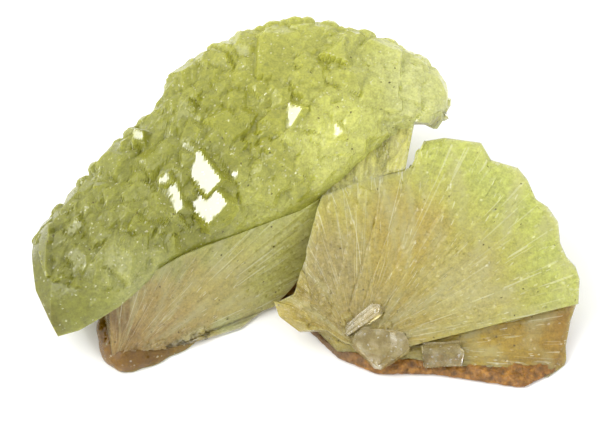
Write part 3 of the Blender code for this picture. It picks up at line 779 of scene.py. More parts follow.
def druse_crystals(rng):
    """Low roofs that grow into one another."""
    found = []
    for spacing, heights, tries in DRUSE_SIZES:
        for place, normal in scatter(rng, on_ridge, spacing * MM, tries):
            spread = (place - FOOT_NUCLEUS).normalized()
            axis = (normal + spread * DRUSE_LEAN + any_direction(rng) * DRUSE_SCATTER).normalized()
            tip = place + axis * rng.uniform(*heights) * MM
            length = rng.uniform(*ROOF_LENGTHS) * spacing * MM / 2
            found.append(roof(rng, tip, axis, length, rng.uniform(*GIRTHS) * spacing * MM))
    return found


def crest_crystals(rng):
    """A row of crystals that stand out along the skyline of the ridge."""
    found = []
    for step in np.arange(*DRUSE_REACH, CREST_SPACING):
        x = (step + rng.uniform(-CREST_STRAY, CREST_STRAY)) * MM
        turn = max(np.linspace(*CREST_TURNS), key=lambda turn: ridge_skin(x, turn).dot(PICTURE_UP))
        normal = ridge_normal(x, turn)
        girth = rng.uniform(*CREST_GIRTHS) * MM
        tip = ridge_skin(x, turn) + normal * rng.uniform(*CREST_HEIGHTS) * MM
        found.append(roof(rng, tip, normal, girth, girth))
    return found


def rubble(rng, path, out, spread, count):
    """Small broken crystals strewn along a path, on a surface that faces out."""
    found = []
    for _ in range(count):
        place = along_path(path, rng.random())
        place = place + square_to(out, any_direction(rng)) * rng.gauss(0, spread * MM)
        axis = (out + any_direction(rng) * RUBBLE_TILT).normalized()
        girth = rng.uniform(*RUBBLE_GIRTHS) * MM
        found.append(roof(rng, place + out * rng.uniform(*RUBBLE_LIFTS) * MM, axis, girth * 2, girth))
    return found


def raised_facet(facing, corners, side_slope=SIDE_SLOPE):
    """A crystal with one broad face between these corners and steep sides."""
    centre = sum(corners, Vector()) / len(corners)
    planes = [(centre, facing)]
    for first, second in zip(corners, corners[1:] + corners[:1]):
        edge = square_to(facing, second - first)
        outward = edge.cross(facing)
        if outward.dot(first - centre) < 0:
            outward = -outward
        planes.append(((first + second) / 2, tipped(facing, outward, side_slope)))
    reach = max((corner - centre).length for corner in corners) * FACET_REACH
    return faceted(planes, centre, reach)


def slab_crystals():
    """The large faces at the lower left."""
    found = []
    for places, height in SLAB_FACES:
        corners = [ridge_skin(x * MM, turn) for x, turn in places]
        facing = (corners[1] - corners[3]).cross(corners[2] - corners[0]).normalized()
        if facing.z < 0:
            facing = -facing
        found.append(raised_facet(facing, [corner + facing * height * MM for corner in corners]))
    return found


def ridge_seen_at(x, height):
    """The place on the front of the druse that the camera sees at this height in its picture."""
    low, high = SEEN_TURNS
    for _ in range(SEEN_HALVINGS):
        middle = (low + high) / 2
        if ridge_skin(x, middle).dot(PICTURE_UP) < height:
            low = middle
        else:
            high = middle
    return ridge_skin(x, low)


def glint_crystals(rng):
    """Crystals with a facet that mirrors the light into the camera."""
    found = []
    level = square_to(GLINT_FACING, Vector((1, 0, 0)))
    for x, height, width, length, angle, proud in GLINTS:
        place = ridge_seen_at(x * MM, height * MM) + GLINT_FACING * proud * MM
        long_side = Matrix.Rotation(math.radians(angle), 3, GLINT_FACING) @ level * length * MM / 2
        side = GLINT_FACING.cross(long_side).normalized() * width * MM / 2
        corners = [
            place + long_side * rng.uniform(*GLINT_LENGTHS) * a + side * rng.uniform(*GLINT_WIDTHS) * b
            for a, b in ((-1, -1), (1, -1), (1, 1), (-1, 1))
        ]
        found.append(raised_facet(GLINT_FACING, corners))
    return found


def envelope(points, ways, heights, crystals, highest=None):
    """How far the highest of the crystals stands out over each point of a net.

    A crystal raises only the side of the net that it faces. Where a highest is given, it falls to
    nothing at the crystal's reach.
    """
    heights = heights.copy()
    for centre, reach, facings, offsets in crystals:
        apart = ((points - centre) ** 2).sum(axis=1) / (reach * reach)
        near = np.flatnonzero(apart < 1.0)
        near = near[ways[near] @ facings[0] > LEAST_FACING]
        if not len(near):
            continue
        slant = np.maximum(ways[near] @ facings.T, LEAST_SLANT)
        rise = ((offsets - points[near] @ facings.T) / slant).min(axis=1)
        if highest is not None:
            rise = np.minimum(rise, highest * (1.0 - apart[near] ** 3))
        heights[near] = np.maximum(heights[near], rise)
    return heights


def ridge_druse(rng):
    """The body of the ridge with its skin of crystals."""
    rings, weights = ridge_net()
    outs = net_outward(rings)
    points = rings.reshape(-1, 3)
    ways = outs.reshape(-1, 3)
    middle = points.mean(axis=0)
    if (ways * (points - middle)).sum() < 0:
        ways = -ways
    on_slab = (points[:, 0] < SLAB_END) & (points[:, 2] < SLAB_TOP) & (points[:, 1] < SLAB_BACK)
    heights = np.where(on_slab, 0.0, DRUSE_LOWEST)
    heights = envelope(points, ways, heights, druse_crystals(rng) + crest_crystals(rng))
    heights = np.minimum(heights, np.interp(points[:, 0], *HIGHEST))
    heights[on_slab] = np.minimum(heights[on_slab], SLAB_HIGHEST)
    heights = envelope(points, ways, heights, slab_crystals() + glint_crystals(rng))
    points = points + ways * (heights * weights.reshape(-1))[:, None]
    return closed_body(points.reshape(rings.shape))


def sampled(path, count):
    """Points spaced evenly along a path, as rows of numbers."""
    return np.array([tuple(along_path(path, index / (count - 1))) for index in range(count)])


def sheet_blades(rng, base, rim, out, kind):
    """Blades that run outwards in a sheet between two paths."""
    count, runs, widths, lifts, roll = kind
    span = sum(step_lengths(rim))
    found = []
    for _ in range(count):
        half = rng.uniform(*widths) * MM / span / 2
        middle = rng.uniform(half, 1 - half)
        run = rng.uniform(*runs)
        start = rng.uniform(BLADE_START, 1.0 - run * BLADE_INSIDE)
        corners = []
        for share, far in ((-half, start), (half, start), (half, start + run), (-half, start + run)):
            corners.append(along_path(base, middle + share).lerp(along_path(rim, middle + share), far))
        found.append(lifted_facet(corners, out, rng.uniform(*lifts) * MM, rng.gauss(0, roll)))
    return found


def lifted_facet(corners, out, lift, roll, side_slope=BLADE_SIDE_SLOPE):
    """A blade between corners in a sheet, lifted off it and rolled about its long side."""
    along = (corners[3] - corners[0]).normalized()
    flat = along.cross(corners[1] - corners[0]).normalized()
    if flat.dot(out) < 0:
        flat = -flat
    facing = tipped(flat, along.cross(flat), roll)
    return raised_facet(facing, [corner + flat * lift for corner in corners], side_slope)


def places_along(rim):
    """How many rows a sheet has along its rim."""
    return round(sum(step_lengths(rim)) / SHEET_SPACING) + 1


def sheet(base, rim, out, depth, blades, raised=(), bevels=()):
    """A closed body under a surface ruled between two paths, with blades that lie on it."""
    across = places_along(rim)
    lows = sampled(base, across)
    highs = sampled(rim, across)
    length = np.linalg.norm(highs - lows, axis=1).max()
    shares = np.linspace(0, 1, round(length / SHEET_SPACING) + 1)[None, :, None]
    net = lows[:, None] * (1 - shares) + highs[:, None] * shares
    ways = unit_ways(np.cross(np.gradient(net, axis=0), np.gradient(net, axis=1)))
    ways *= np.sign((ways * np.array(out)).sum(axis=2, keepdims=True))
    points = net.reshape(-1, 3)
    facings = ways.reshape(-1, 3)
    heights = envelope(points, facings, np.zeros(len(points)), blades, BLADE_HIGHEST)
    heights = envelope(points, facings, heights, raised).reshape(net.shape[:2])
    inward = np.linalg.norm(net - highs[:, None], axis=2)
    for row, (drop, slope) in zip(range(across), bevels):
        heights[row] = np.minimum(heights[row], inward[row] * slope - drop)
    tops = net + ways * heights[:, :, None]
    under = np.array(out) * depth
    lower = [net[:, -1] * (1 - UNDERCUT) + net[:, 0] * UNDERCUT - under, net[:, 0] - under * BASE_DEPTH]
    return closed_body(np.concatenate([tops, np.stack(lower, axis=1)], axis=1))


def rim_bevels(rng, rim, plain):
    """The drop and the steepness of the bevel at each place along a rim. The last facets are plain."""
    steps = step_lengths(rim)
    kinds = [
        (rng.uniform(*BEVEL_DROPS) * MM, math.tan(math.radians(rng.uniform(*BEVEL_SLOPES)))) for _ in steps
    ]
    kinds[len(kinds) - plain:] = [(-NO_BEVEL, 0.0)] * plain
    edges = np.cumsum(steps) / sum(steps)
    shares = np.linspace(0, 1, places_along(rim))
    return [kinds[min(int(np.searchsorted(edges, share)), len(kinds) - 1)] for share in shares]


def ridge_columns(rng):
    """Columns fanned over the broken front of the ridge."""
    ends = points_of(COLUMN_ENDS)
    starts = [FOOT_NUCLEUS.lerp(end, COLUMN_START) for end in ends]
    blades = sheet_blades(rng, starts, ends, COLUMNS_OUT, COLUMN_BLADES)
    path, spread, count = FOOT_RUBBLE
    loose = rubble(rng, points_of(path), COLUMNS_OUT.normalized(), spread, count)
    return sheet(starts, ends, COLUMNS_OUT, COLUMN_THICKNESS, blades, loose)


def foot_roll():
    """The rounded edge of the foot."""
    levels, around = ROLL_STEPS
    rows = np.array(FOOT_ROLL) * MM
    shares = np.linspace(0, len(rows) - 1, levels)
    rows = np.stack([np.interp(shares, range(len(rows)), column) for column in rows.T], axis=1)
    for _ in range(ROLL_SMOOTHINGS):
        rows[1:-1] = (rows[:-2] + rows[1:-1] + rows[2:]) / 3
    rings = []
    for row, along in zip(rows, np.gradient(rows[:, :3], axis=0)):
        along = Vector(along).normalized()
        side = square_to(along, Vector((0, 0, 1)))
        across = along.cross(side)
        ring = []
        for angle in np.linspace(0, 2 * math.pi, around, endpoint=False):
            way = side * math.cos(angle) + across * math.sin(angle)
            point = Vector(row[:3]) + way * row[3]
            ring.append(point + way * noise.noise(point / MM * ROLL_LUMPS) * ROLL_ROUGH)
        rings.append(ring)
    return closed_body(rings)


def ridge_link(rng):
    """Columns that rise from the top of the fan to the druse, behind the crack."""
    starts, ends = points_of(LINK_STARTS), points_of(LINK_ENDS)
    blades = sheet_blades(rng, starts, ends, LINKS_OUT, LINK_BLADES)
    return sheet(starts, ends, LINKS_OUT, LINK_DEPTH, [], blades)


def fan_axes():
    """Across and up in the broken face of the fan, and its outward normal."""
    normal = Vector((-FAN_SLOPE_X, -FAN_SLOPE_Y, 1.0)).normalized()
    up = (Vector((0, 1, 0)) - normal * normal.y).normalized()
    return up.cross(normal), up, normal


ACROSS, UP, FACE_NORMAL = fan_axes()


def on_face(place, lift=0.0):
    """The point at a place across and up the face of the fan, in mm, lifted off it."""
    return FAN_NUCLEUS + (ACROSS * place[0] + UP * place[1]) * MM + FACE_NORMAL * lift


def raised_blades(rng):
    """The blades that stand out of the fan."""
    found = []
    for base, tip, width, height in RAISED_BLADES:
        base, tip = Vector(base), Vector(tip)
        side = Vector((tip.y - base.y, base.x - tip.x)).normalized() * width / 2
        low = side * RAISED_BASE
        corners = [on_face(place) for place in (base - low, base + low, tip + side, tip - side)]
        roll = rng.gauss(*RAISED_ROLL)
        found.append(lifted_facet(corners, FACE_NORMAL, height * MM, roll, RAISED_SIDE_SLOPE))
    return found


def fan_rubble(rng, kind):
    """Small broken crystals on the face of the fan."""
    path, spread, count = kind
    return rubble(rng, [on_face(place) for place in path], FACE_NORMAL, spread, count)


def fan_sheet(rng, rim, base, drop, depth, kind, raised=(), plain=0):
    """A sector of the fan from its base to its rim, as a sheet of blades."""
    rim = [on_face(Vector(place) * (1 + RIM_GROWTH / Vector(place).length), -drop) for place in rim]
    base = [on_face(place, -drop) for place in base]
    blades = sheet_blades(rng, base, rim, FACE_NORMAL, kind)
    return sheet(base, rim, FACE_NORMAL, depth, blades, raised, rim_bevels(rng, rim, plain))


def wall_foot(point, size, height):
    """The foot of the fan's outside under a point, drawn in towards the nucleus by these sizes."""
    flat = point - FAN_NUCLEUS
    return Vector((FAN_NUCLEUS.x + flat.x * size[0], FAN_NUCLEUS.y + flat.y * size[1], height))


def fan_core():
    """The inside of the fan, between its face and the crust."""
    rims = ((LEDGE_RIM[:-1], CORE_LEDGE_SIZE), (PLATE_RIM, CORE_SIZE))
    top = [on_face(Vector(place) * size, -CORE_DROP) for rim, size in rims for place in rim]
    low = [wall_foot(point, CORE_FOOT, CORE_FLOOR) for point in top]
    top += [on_face(place, -CORE_DROP) for place in CORE_CORNERS]
    low += points_of(CORE_CORNER_FEET)
    return closed_body([low, top])


def fan_back(rng):
    """Crystals on the outside of the fan, behind and below its rim."""
    rim = [Vector(place) for place in PLATE_RIM[:BACK_POINTS]]

    def draw(r):
        place = along_path(rim, r.uniform(BACK_START, 1.0))
        high = on_face(place * BACK_SIZE, -BACK_DROP)
        point = high.lerp(wall_foot(high, BACK_FOOT, BACK_FLOOR), r.random())
        return point, (point - FAN_NUCLEUS).normalized()

    bodies = []
    for place, spread in scatter(rng, draw, BACK_SPACING, BACK_TRIES):
        axis = (spread + any_direction(rng) * BACK_SCATTER).normalized()
        width = rng.uniform(*BACK_WIDTHS) * MM
        tip = place + axis * rng.uniform(*BACK_HEIGHTS) * MM
        side = any_direction(rng)
        thickness = width * rng.uniform(*BACK_THICKNESSES)
        outline = rng.choice((HEXAGON, BOX))
        root = place - axis * BACK_LENGTH * MM
        bodies.append(crystal(root, tip, side, width, thickness, outline, *BACK_ENDS))
    return bodies


def ground_block():
    """Fills the space under the surface that the crust stands on."""
    half = FAR
    low = [Vector((x, y, -half)) for x, y in ((-half, -half), (half, -half), (half, half), (-half, half))]
    return mesh_of("ground", [closed_body([low, [Vector((p.x, p.y, GROUND_GAP)) for p in low]])])


def crack_side(side, grow):
    """A block that fills one side of the crack and a clearance: side -1 is the ridge's, +1 the fan's."""
    bm = bmesh.new()
    shift = Vector((-side, side, 0)) * grow / 2
    ring = [Vector((x, y, 0)) * MM + shift for x, y in CRACK]
    if side > 0:
        ring += [Vector((FAR, -FAR, 0))]
    else:
        ring += [Vector((FAR, FAR, 0)), Vector((-FAR, FAR, 0)), Vector((-FAR, -FAR, 0))]
    base = bm.faces.new([bm.verts.new(point - Vector((0, 0, FAR))) for point in ring])
    top = bmesh.ops.extrude_face_region(bm, geom=[base])
    lifted = [item for item in top["geom"] if isinstance(item, bmesh.types.BMVert)]
    bmesh.ops.translate(bm, verts=lifted, vec=Vector((0, 0, 2 * FAR)))
    return mesh_from(bm, "crack_side")


def sight_block(outline):
    """A block behind an outline in the picture: it runs along the line of sight."""
    ring = [Vector((x, 0, 0)) * MM + PICTURE_UP * height * MM for x, height in outline]
    ends = [[point + CAMERA_BACK * way * FAR for point in ring] for way in (-1, 1)]
    return mesh_of("sight_block", [closed_body(ends)])


def crust_slab():
    """The plain shape of the crust."""
    bm = bmesh.new()
    outline = [Vector((x, y, 0)) * MM for x, y, _ in CRUST_OUTLINE]
    count = len(outline)
    rings = []
    for inset, level in CRUST_PROFILE:
        ring = []
        for i, point in enumerate(outline):
            chord = outline[(i + 1) % count] - outline[i - 1]
            inward = Vector((-chord.y, chord.x, 0)).normalized()
            height = Vector((0, 0, CRUST_OUTLINE[i][2] * level))
            ring.append(bm.verts.new(point + (inward * inset + height) * MM))
        rings.append(ring)
    for first, second in zip(rings, rings[1:]):
        for i in range(count):
            j = (i + 1) % count
            bm.faces.new((first[i], first[j], second[j], second[i]))
    bm.faces.new(rings[0])
    bm.faces.new(rings[-1])
    return mesh_from(bm, "crust_slab")


def crust_mesh():
    """The crust with a rounded, grainy surface."""
    slab = new_object("crust_slab", crust_slab())
    remesh = slab.modifiers.new("remesh", "REMESH")
    remesh.mode = "VOXEL"
    remesh.voxel_size = CRUST_VOXEL
    smooth = slab.modifiers.new("smooth", "SMOOTH")
    smooth.iterations = CRUST_SMOOTHINGS
    mesh = evaluated_mesh(slab)
    bpy.data.objects.remove(slab)
    for vertex in mesh.vertices:
        place = vertex.co / MM
        lumps = [noise.noise_vector(place * scale) * strength for scale, strength in CRUST_LUMPS]
        vertex.co += sum(lumps, Vector()) * CRUST_ROUGH * min(1.0, place.z + CRUST_FLOOR_ROUGH)
        vertex.co.z = max(vertex.co.z, 0.0)
    mesh.shade_flat()
    return mesh


def clear_axis(kind):
    """The two ends of the axis of a clear crystal, and the way it faces."""
    lift = (kind.height + kind.thickness / 2) * MM
    start, end = on_face(kind.root, lift - ROOT_DIP), on_face(kind.tip, lift + kind.rise * MM)
    facing = GLINT_FACING if kind.mirrors else FACE_NORMAL
    return start, end, square_to((end - start).normalized(), facing)


def clear_seat(kind):
    """The space of a clear crystal in the fan, larger than it by a clearance."""
    start, end, facing = clear_axis(kind)
    along = (end - start).normalized() * SEAT_GAP
    return crystal(
        start - along, end + along, facing.cross(end - start), kind.width * MM + 2 * SEAT_GAP,
        kind.thickness * MM + 2 * SEAT_GAP, BOX, kind.root_size, SEAT_END, kind.point,
    )


def glassy_crystal(rng, kind):
    """A clear crystal as it is seen: its sides are striated along its length and its ends broken."""
    start, end, facing = clear_axis(kind)
    along = (end - start).normalized()
    side = facing.cross(along)
    depth = MIRROR_DEPTH if kind.mirrors else GLASSY_DEPTH
    lines = [(-0.5 + step / GLASSY_LINES, 0.5 - rng.uniform(0, depth)) for step in range(GLASSY_LINES + 1)]
    outline = lines + [BOX[3], BOX[2]]
    shoulder = end - along * kind.width * MM * kind.point
    root_bevel, bevel_length = ROOT_BEVEL
    waist, waist_size = GLASSY_WAIST
    neck, neck_size = GLASSY_NECK
    rings = []
    for centre, size in (
        (start, kind.root_size * root_bevel), (start + along * bevel_length * MM, kind.root_size),
        (start.lerp(shoulder, waist), waist_size), (shoulder, 1.0),
        (shoulder.lerp(end, neck), neck_size), (end, GLASSY_TIP),
    ):
        ring = []
        for u, v in outline:
            slant = along * rng.uniform(-GLASSY_SLANT, GLASSY_SLANT) * MM
            point = centre + side * u * size * kind.width * MM + facing * v * kind.thickness * MM
            ring.append(point + slant)
        rings.append(ring)
    return closed_body(rings)


def srgb(red, green, blue):
    """A linear colour from its sRGB values of 0 to 255."""
    return tuple(((value / 255 + 0.055) / 1.055) ** 2.4 for value in (red, green, blue))


def set_inputs(made, inputs):
    """Sets a node's inputs, each to a value or to another node's output."""
    for name, value in inputs.items():
        if isinstance(value, bpy.types.NodeSocket):
            made.id_data.links.new(value, made.inputs[name])
        else:
            made.inputs[name].default_value = value


def node(tree, kind, inputs=None, **settings):
    """Adds a shader node with its settings and inputs."""
    made = tree.nodes.new(kind)
    for name, value in settings.items():
        setattr(made, name, value)
    set_inputs(made, inputs or {})
    return made


def colour_ramp(tree, factor, stops):
    made = node(tree, "ShaderNodeValToRGB", {"Fac": factor})
    ramp = made.color_ramp
    while len(ramp.elements) < len(stops):
        ramp.elements.new(1.0)
    for element, (place, colour) in zip(ramp.elements, stops):
        element.position = place
        element.color = (*srgb(*colour), 1.0)
    return made.outputs["Color"]


def mixed(tree, factor, first, second):
    """One colour over another by a factor: each a colour in sRGB or another node's output."""
    made = node(tree, "ShaderNodeMix", data_type="RGBA")
    for name, value in (("Factor_Float", factor), ("A_Color", first), ("B_Color", second)):
        socket = next(item for item in made.inputs if item.identifier == name)
        if isinstance(value, bpy.types.NodeSocket):
            tree.links.new(value, socket)
        else:
            socket.default_value = (*srgb(*value), 1.0)
    return next(item for item in made.outputs if item.identifier == "Result_Color")


def maths(tree, operation, *values):
    return node(tree, "ShaderNodeMath", dict(enumerate(values)), operation=operation).outputs[0]


def vector_maths(tree, operation, *values):
    made = node(tree, "ShaderNodeVectorMath", dict(enumerate(values)), operation=operation)
    return made.outputs["Value" if operation == "DISTANCE" else "Vector"]


def scaled(tree, vector, factor):
    return node(tree, "ShaderNodeVectorMath", {0: vector, "Scale": factor}, operation="SCALE").outputs[0]


def new_material(name):
    material = bpy.data.materials.new(name)
    material.use_nodes = True
    tree = material.node_tree
    return material, tree, tree.nodes["Principled BSDF"]


def place_socket(tree):
    """The place in the object, in mm."""
    return scaled(tree, node(tree, "ShaderNodeTexCoord").outputs["Object"], 1 / MM)


def noise_socket(tree, place, scale, detail=2.0, output="Fac"):
    made = node(tree, "ShaderNodeTexNoise", {"Vector": place, "Scale": scale, "Detail": detail})
    return made.outputs[output]


def mapped(tree, value, low, high, to_low=0.0, to_high=1.0, smooth=False):
    return node(tree, "ShaderNodeMapRange", {
        "Value": value, "From Min": low, "From Max": high, "To Min": to_low, "To Max": to_high,
    }, interpolation_type="SMOOTHSTEP" if smooth else "LINEAR").outputs["Result"]


def outward(tree, place, nucleus):
    """The direction from a nucleus."""
    spread = vector_maths(tree, "SUBTRACT", place, tuple(nucleus / MM))
    return vector_maths(tree, "NORMALIZE", spread)


def wavered(tree, place, nucleus):
    """A place shifted at random, in streaks that spread from a nucleus and in clouds."""
    streaks = noise_socket(tree, outward(tree, place, nucleus), WAVER_SCALES[0], output="Color")
    clouds = noise_socket(tree, place, WAVER_SCALES[1], output="Color")
    both = vector_maths(tree, "SUBTRACT", vector_maths(tree, "ADD", streaks, clouds), (1.0, 1.0, 1.0))
    return vector_maths(tree, "ADD", place, scaled(tree, both, WAVER))


def with_patches(tree, place, colour, patches):
    """Lays soft patches over a colour: each has a centre and a radius in mm, a colour and a strength."""
    for centre, radius, patch, strength in patches:
        distance = vector_maths(tree, "DISTANCE", place, centre)
        full, gone = radius * PATCH_EDGE[0], radius * PATCH_EDGE[1]
        cover = mapped(tree, distance, gone, full, 0.0, strength, smooth=True)
        colour = mixed(tree, cover, colour, patch)
    return colour


def cell_tilt(tree, place, amount):
    """A normal that tips at random from cell to cell, as the small facets of a crystal's face do."""
    cells = node(tree, "ShaderNodeTexVoronoi", {"Vector": place, "Scale": FACET_CELLS}).outputs["Color"]
    chance = noise_socket(tree, cells, SPARKLE_SCALE, 0.0)
    amount = mapped(tree, chance, *SPARKLE_RANGE, amount, amount + SPARKLE)
    tip = scaled(tree, vector_maths(tree, "SUBTRACT", cells, (0.5, 0.5, 0.5)), amount)
    start = node(tree, "ShaderNodeNewGeometry").outputs["Normal"]
    return vector_maths(tree, "NORMALIZE", vector_maths(tree, "ADD", start, tip))


def rayed(tree, place, nucleus, across, along):
    """A place counted across and along the rays from a nucleus."""
    distance = vector_maths(tree, "DISTANCE", place, tuple(nucleus / MM))
    run = node(tree, "ShaderNodeCombineXYZ", {"X": maths(tree, "MULTIPLY", distance, along)})
    return vector_maths(tree, "ADD", scaled(tree, outward(tree, place, nucleus), across), run.outputs[0])


def cell_chance(tree, cells):
    """A chance from 0 to 1 for each cell."""
    chance = node(tree, "ShaderNodeTexVoronoi", {"Vector": cells, "Scale": 1.0}).outputs["Color"]
    return node(tree, "ShaderNodeSeparateXYZ", {"Vector": chance}).outputs["X"]


def with_flecks(tree, colour, cells, share, strength, fleck):
    """Lays another colour over this share of the cells."""
    cover = mapped(tree, cell_chance(tree, cells), 1.0 - share, 1.0, 0.0, strength)
    return mixed(tree, cover, colour, fleck)


def with_needles_and_highlights(tree, place, colour, nucleus):
    """Lays pale veils over a colour, and needles that are partly painted highlights."""
    veil = noise_socket(tree, rayed(tree, place, nucleus, *VEIL_CELLS), *VEIL_NOISE)
    colour = mixed(tree, mapped(tree, veil, *VEIL_RANGE, 0.0, VEIL_STRENGTH), colour, VEIL_COLOUR)
    for size, share, strength in NEEDLES_AND_HIGHLIGHTS:
        cells = rayed(tree, place, nucleus, *size)
        colour = with_flecks(tree, colour, cells, share, strength, GLINT_FLECK_COLOUR)
    return colour


def absorbing(tree, colour, density):
    """Lets a material take colour from the light that crosses it."""
    absorption = node(tree, "ShaderNodeVolumeAbsorption", {"Color": colour, "Density": density})
    tree.links.new(absorption.outputs[0], tree.nodes["Material Output"].inputs["Volume"])


def bumps(tree, place, kind):
    """The normal of a bumpy surface."""
    grain, strength, height = kind
    return node(tree, "ShaderNodeBump", {
        "Height": noise_socket(tree, place, *grain), "Strength": strength, "Distance": height,
    }).outputs[0]


def adamite_colour(tree, place, streaks, nucleus, stops, reach, patches, lines):
    """A colour that runs outwards from a nucleus, with grain, streaks and specks, and with needles that are
    partly painted highlights or pale flecks that are painted glints.
    """
    shifted = wavered(tree, place, nucleus)
    distance = vector_maths(tree, "DISTANCE", shifted, tuple(nucleus / MM))
    colour = colour_ramp(tree, mapped(tree, distance, 0.0, reach), stops)
    colour = with_patches(tree, shifted, colour, patches)
    grain = noise_socket(tree, place, *GRAIN_NOISE)
    shade = mapped(tree, grain, *NOISE_RANGE, (1 - GRAIN) * GAIN, (1 + GRAIN) * GAIN)
    bands = noise_socket(tree, outward(tree, place, nucleus), *BAND_NOISE)
    fine = noise_socket(tree, place, *FINE_NOISE)
    for texture, strength in ((streaks, STREAKS * lines), (bands, BANDS * lines), (fine, FINE_GRAIN)):
        change = mapped(tree, texture, *NOISE_RANGE, -1.0, 1.0)
        shade = maths(tree, "MULTIPLY_ADD", change, strength, shade)
    colour = vector_maths(tree, "MULTIPLY", colour, shade)
    # Needles along the rays, partly painted highlights, or else pale flecks that are painted glints.
    if lines >= LINES_WITH_NEEDLE_HIGHLIGHTS:
        colour = with_needles_and_highlights(tree, place, colour, nucleus)
    else:
        # Pale flecks: painted glints.
        cells = scaled(tree, place, GLINT_FLECK_SCALE)
        colour = with_flecks(tree, colour, cells, GLINT_FLECK_SHARE, GLINT_FLECK_STRENGTH, GLINT_FLECK_COLOUR)
    specks = cell_chance(tree, scaled(tree, place, SPECK_SCALE))
    cover = mapped(tree, specks, SPECK_SHARE, SPECK_SHARE / 2, 0.0, SPECK_STRENGTH)
    return mixed(tree, cover, colour, SPECK_COLOUR)


def adamite(name):
    """Cloudy, translucent adamite."""
    nucleus, stops, reach, patches, lines, tilt, glow = ADAMITES[name]
    material, tree, shader = new_material(name)
    place = place_socket(tree)
    streaks = noise_socket(tree, outward(tree, place, nucleus), *STREAK_NOISE)
    colour = adamite_colour(tree, place, streaks, nucleus, stops, reach, patches, lines)
    if tilt:
        bump = node(tree, "ShaderNodeBump", {
            "Height": streaks, "Strength": STREAK_BUMP * lines, "Distance": STREAK_HEIGHT,
            "Normal": cell_tilt(tree, place, tilt),
        })
        tree.links.new(bump.outputs[0], shader.inputs["Normal"])
    set_inputs(shader, {
        "Base Color": colour, "Roughness": 0.2, "IOR": 1.5, "Transmission Weight": 0.4,
        "Subsurface Weight": glow, "Subsurface Radius": (1.0, 1.0, 0.6), "Subsurface Scale": 0.0022,
    })
    absorbing(tree, *SPRAY_ABSORPTION)
    return material


def limonite():
    """The brown, grainy crust."""
    material, tree, shader = new_material("limonite")
    place = place_socket(tree)
    colour = colour_ramp(tree, noise_socket(tree, place, *LIMONITE_NOISE), LIMONITE_COLOURS)
    set_inputs(shader, {
        "Base Color": with_patches(tree, place, colour, CRUST_PATCHES_AND_SHADE),
        "Normal": bumps(tree, place, LIMONITE_BUMPS), "Roughness": 0.35,
        "Subsurface Weight": 0.5, "Subsurface Radius": (1.0, 0.6, 0.3), "Subsurface Scale": 0.0008,
    })
    return material


def clear_adamite():
    """See-through adamite with a few clouds, and pale flecks that are painted glints."""
    material, tree, shader = new_material("clear_adamite")
    place = place_socket(tree)
    colour = colour_ramp(tree, noise_socket(tree, place, *CLEAR_NOISE), CLEAR_COLOURS)
    # Pale flecks in the crystal: painted glints.
    cells = scaled(tree, place, GLINT_FLECK_SCALE)
    set_inputs(shader, {
        "Base Color": with_flecks(tree, colour, cells, CLEAR_GLINT_SHARE, 1.0, CLEAR_GLINT_COLOUR),
        "Normal": bumps(tree, place, CLEAR_BUMPS), "Roughness": 0.08, "IOR": 1.5,
        "Transmission Weight": 0.75,
    })
    absorbing(tree, *CLEAR_ABSORPTION)
    return material


def add_piece(name, mesh, replaced):
    """Adds a piece of the specimen in place of a node of the frame."""
    obj = new_object(name, mesh)
    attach(obj, "root")
    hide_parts(replaced)


def painted(mesh, material):
    """The mesh with this material all over."""
    mesh.materials.clear()
    mesh.materials.append(material)
    mesh.polygons.foreach_set("material_index", [0] * len(mesh.polygons))
    return mesh


def part_of(name, body, material):
    """A body as a mesh of one material."""
    return painted(mesh_of(name, [body]), material)


def polish_glints(mesh, material):
    """Gives the facets that mirror the light a clean material."""
    mesh.materials.append(material)
    facings = np.zeros(len(mesh.polygons) * 3)
    mesh.polygons.foreach_get("normal", facings)
    level = facings.reshape(-1, 3) @ np.array(GLINT_FACING) > math.cos(math.radians(GLINT_SPREAD))
    slots = np.zeros(len(mesh.polygons), dtype=np.int32)
    mesh.polygons.foreach_get("material_index", slots)
    slots[level] = len(mesh.materials) - 1
    mesh.polygons.foreach_set("material_index", slots)


def add_spray(name, mesh, sharp_angle, replaced):
    """Adds a spray whose edges look sharp where they turn by more than an angle in degrees."""
    mesh.shade_smooth()
    mesh.set_sharp_from_angle(angle=math.radians(sharp_angle))
    add_piece(name, mesh, replaced)


def build_ridge(rng):
    """The ridge: its druse, its columns, the columns that link it to the fan, and its foot."""
    columns = ridge_columns(rng)
    links = ridge_link(rng)
    green, pale = adamite("druse_adamite"), adamite("link_adamite")
    parts = [
        part_of("druse", ridge_druse(rng), green),
        part_of("columns", columns, adamite("column_adamite")),
        part_of("links", links, pale),
        part_of("foot", foot_roll(), adamite("foot_adamite")),
    ]
    cuts = [crack_side(1, CRACK_GAP), sight_block(GAP_OUTLINE), ground_block()]
    cuts = [painted(cut, pale) for cut in cuts]
    cuts += [painted(sight_block(outline), green) for outline in SLAB_CUTS]
    ridge = largest_body(joined("ridge", parts, cuts))
    polish_glints(ridge, adamite("glint_adamite"))
    add_spray("fine_ridge", ridge, SHARP_ANGLE, "ridge_crystals")


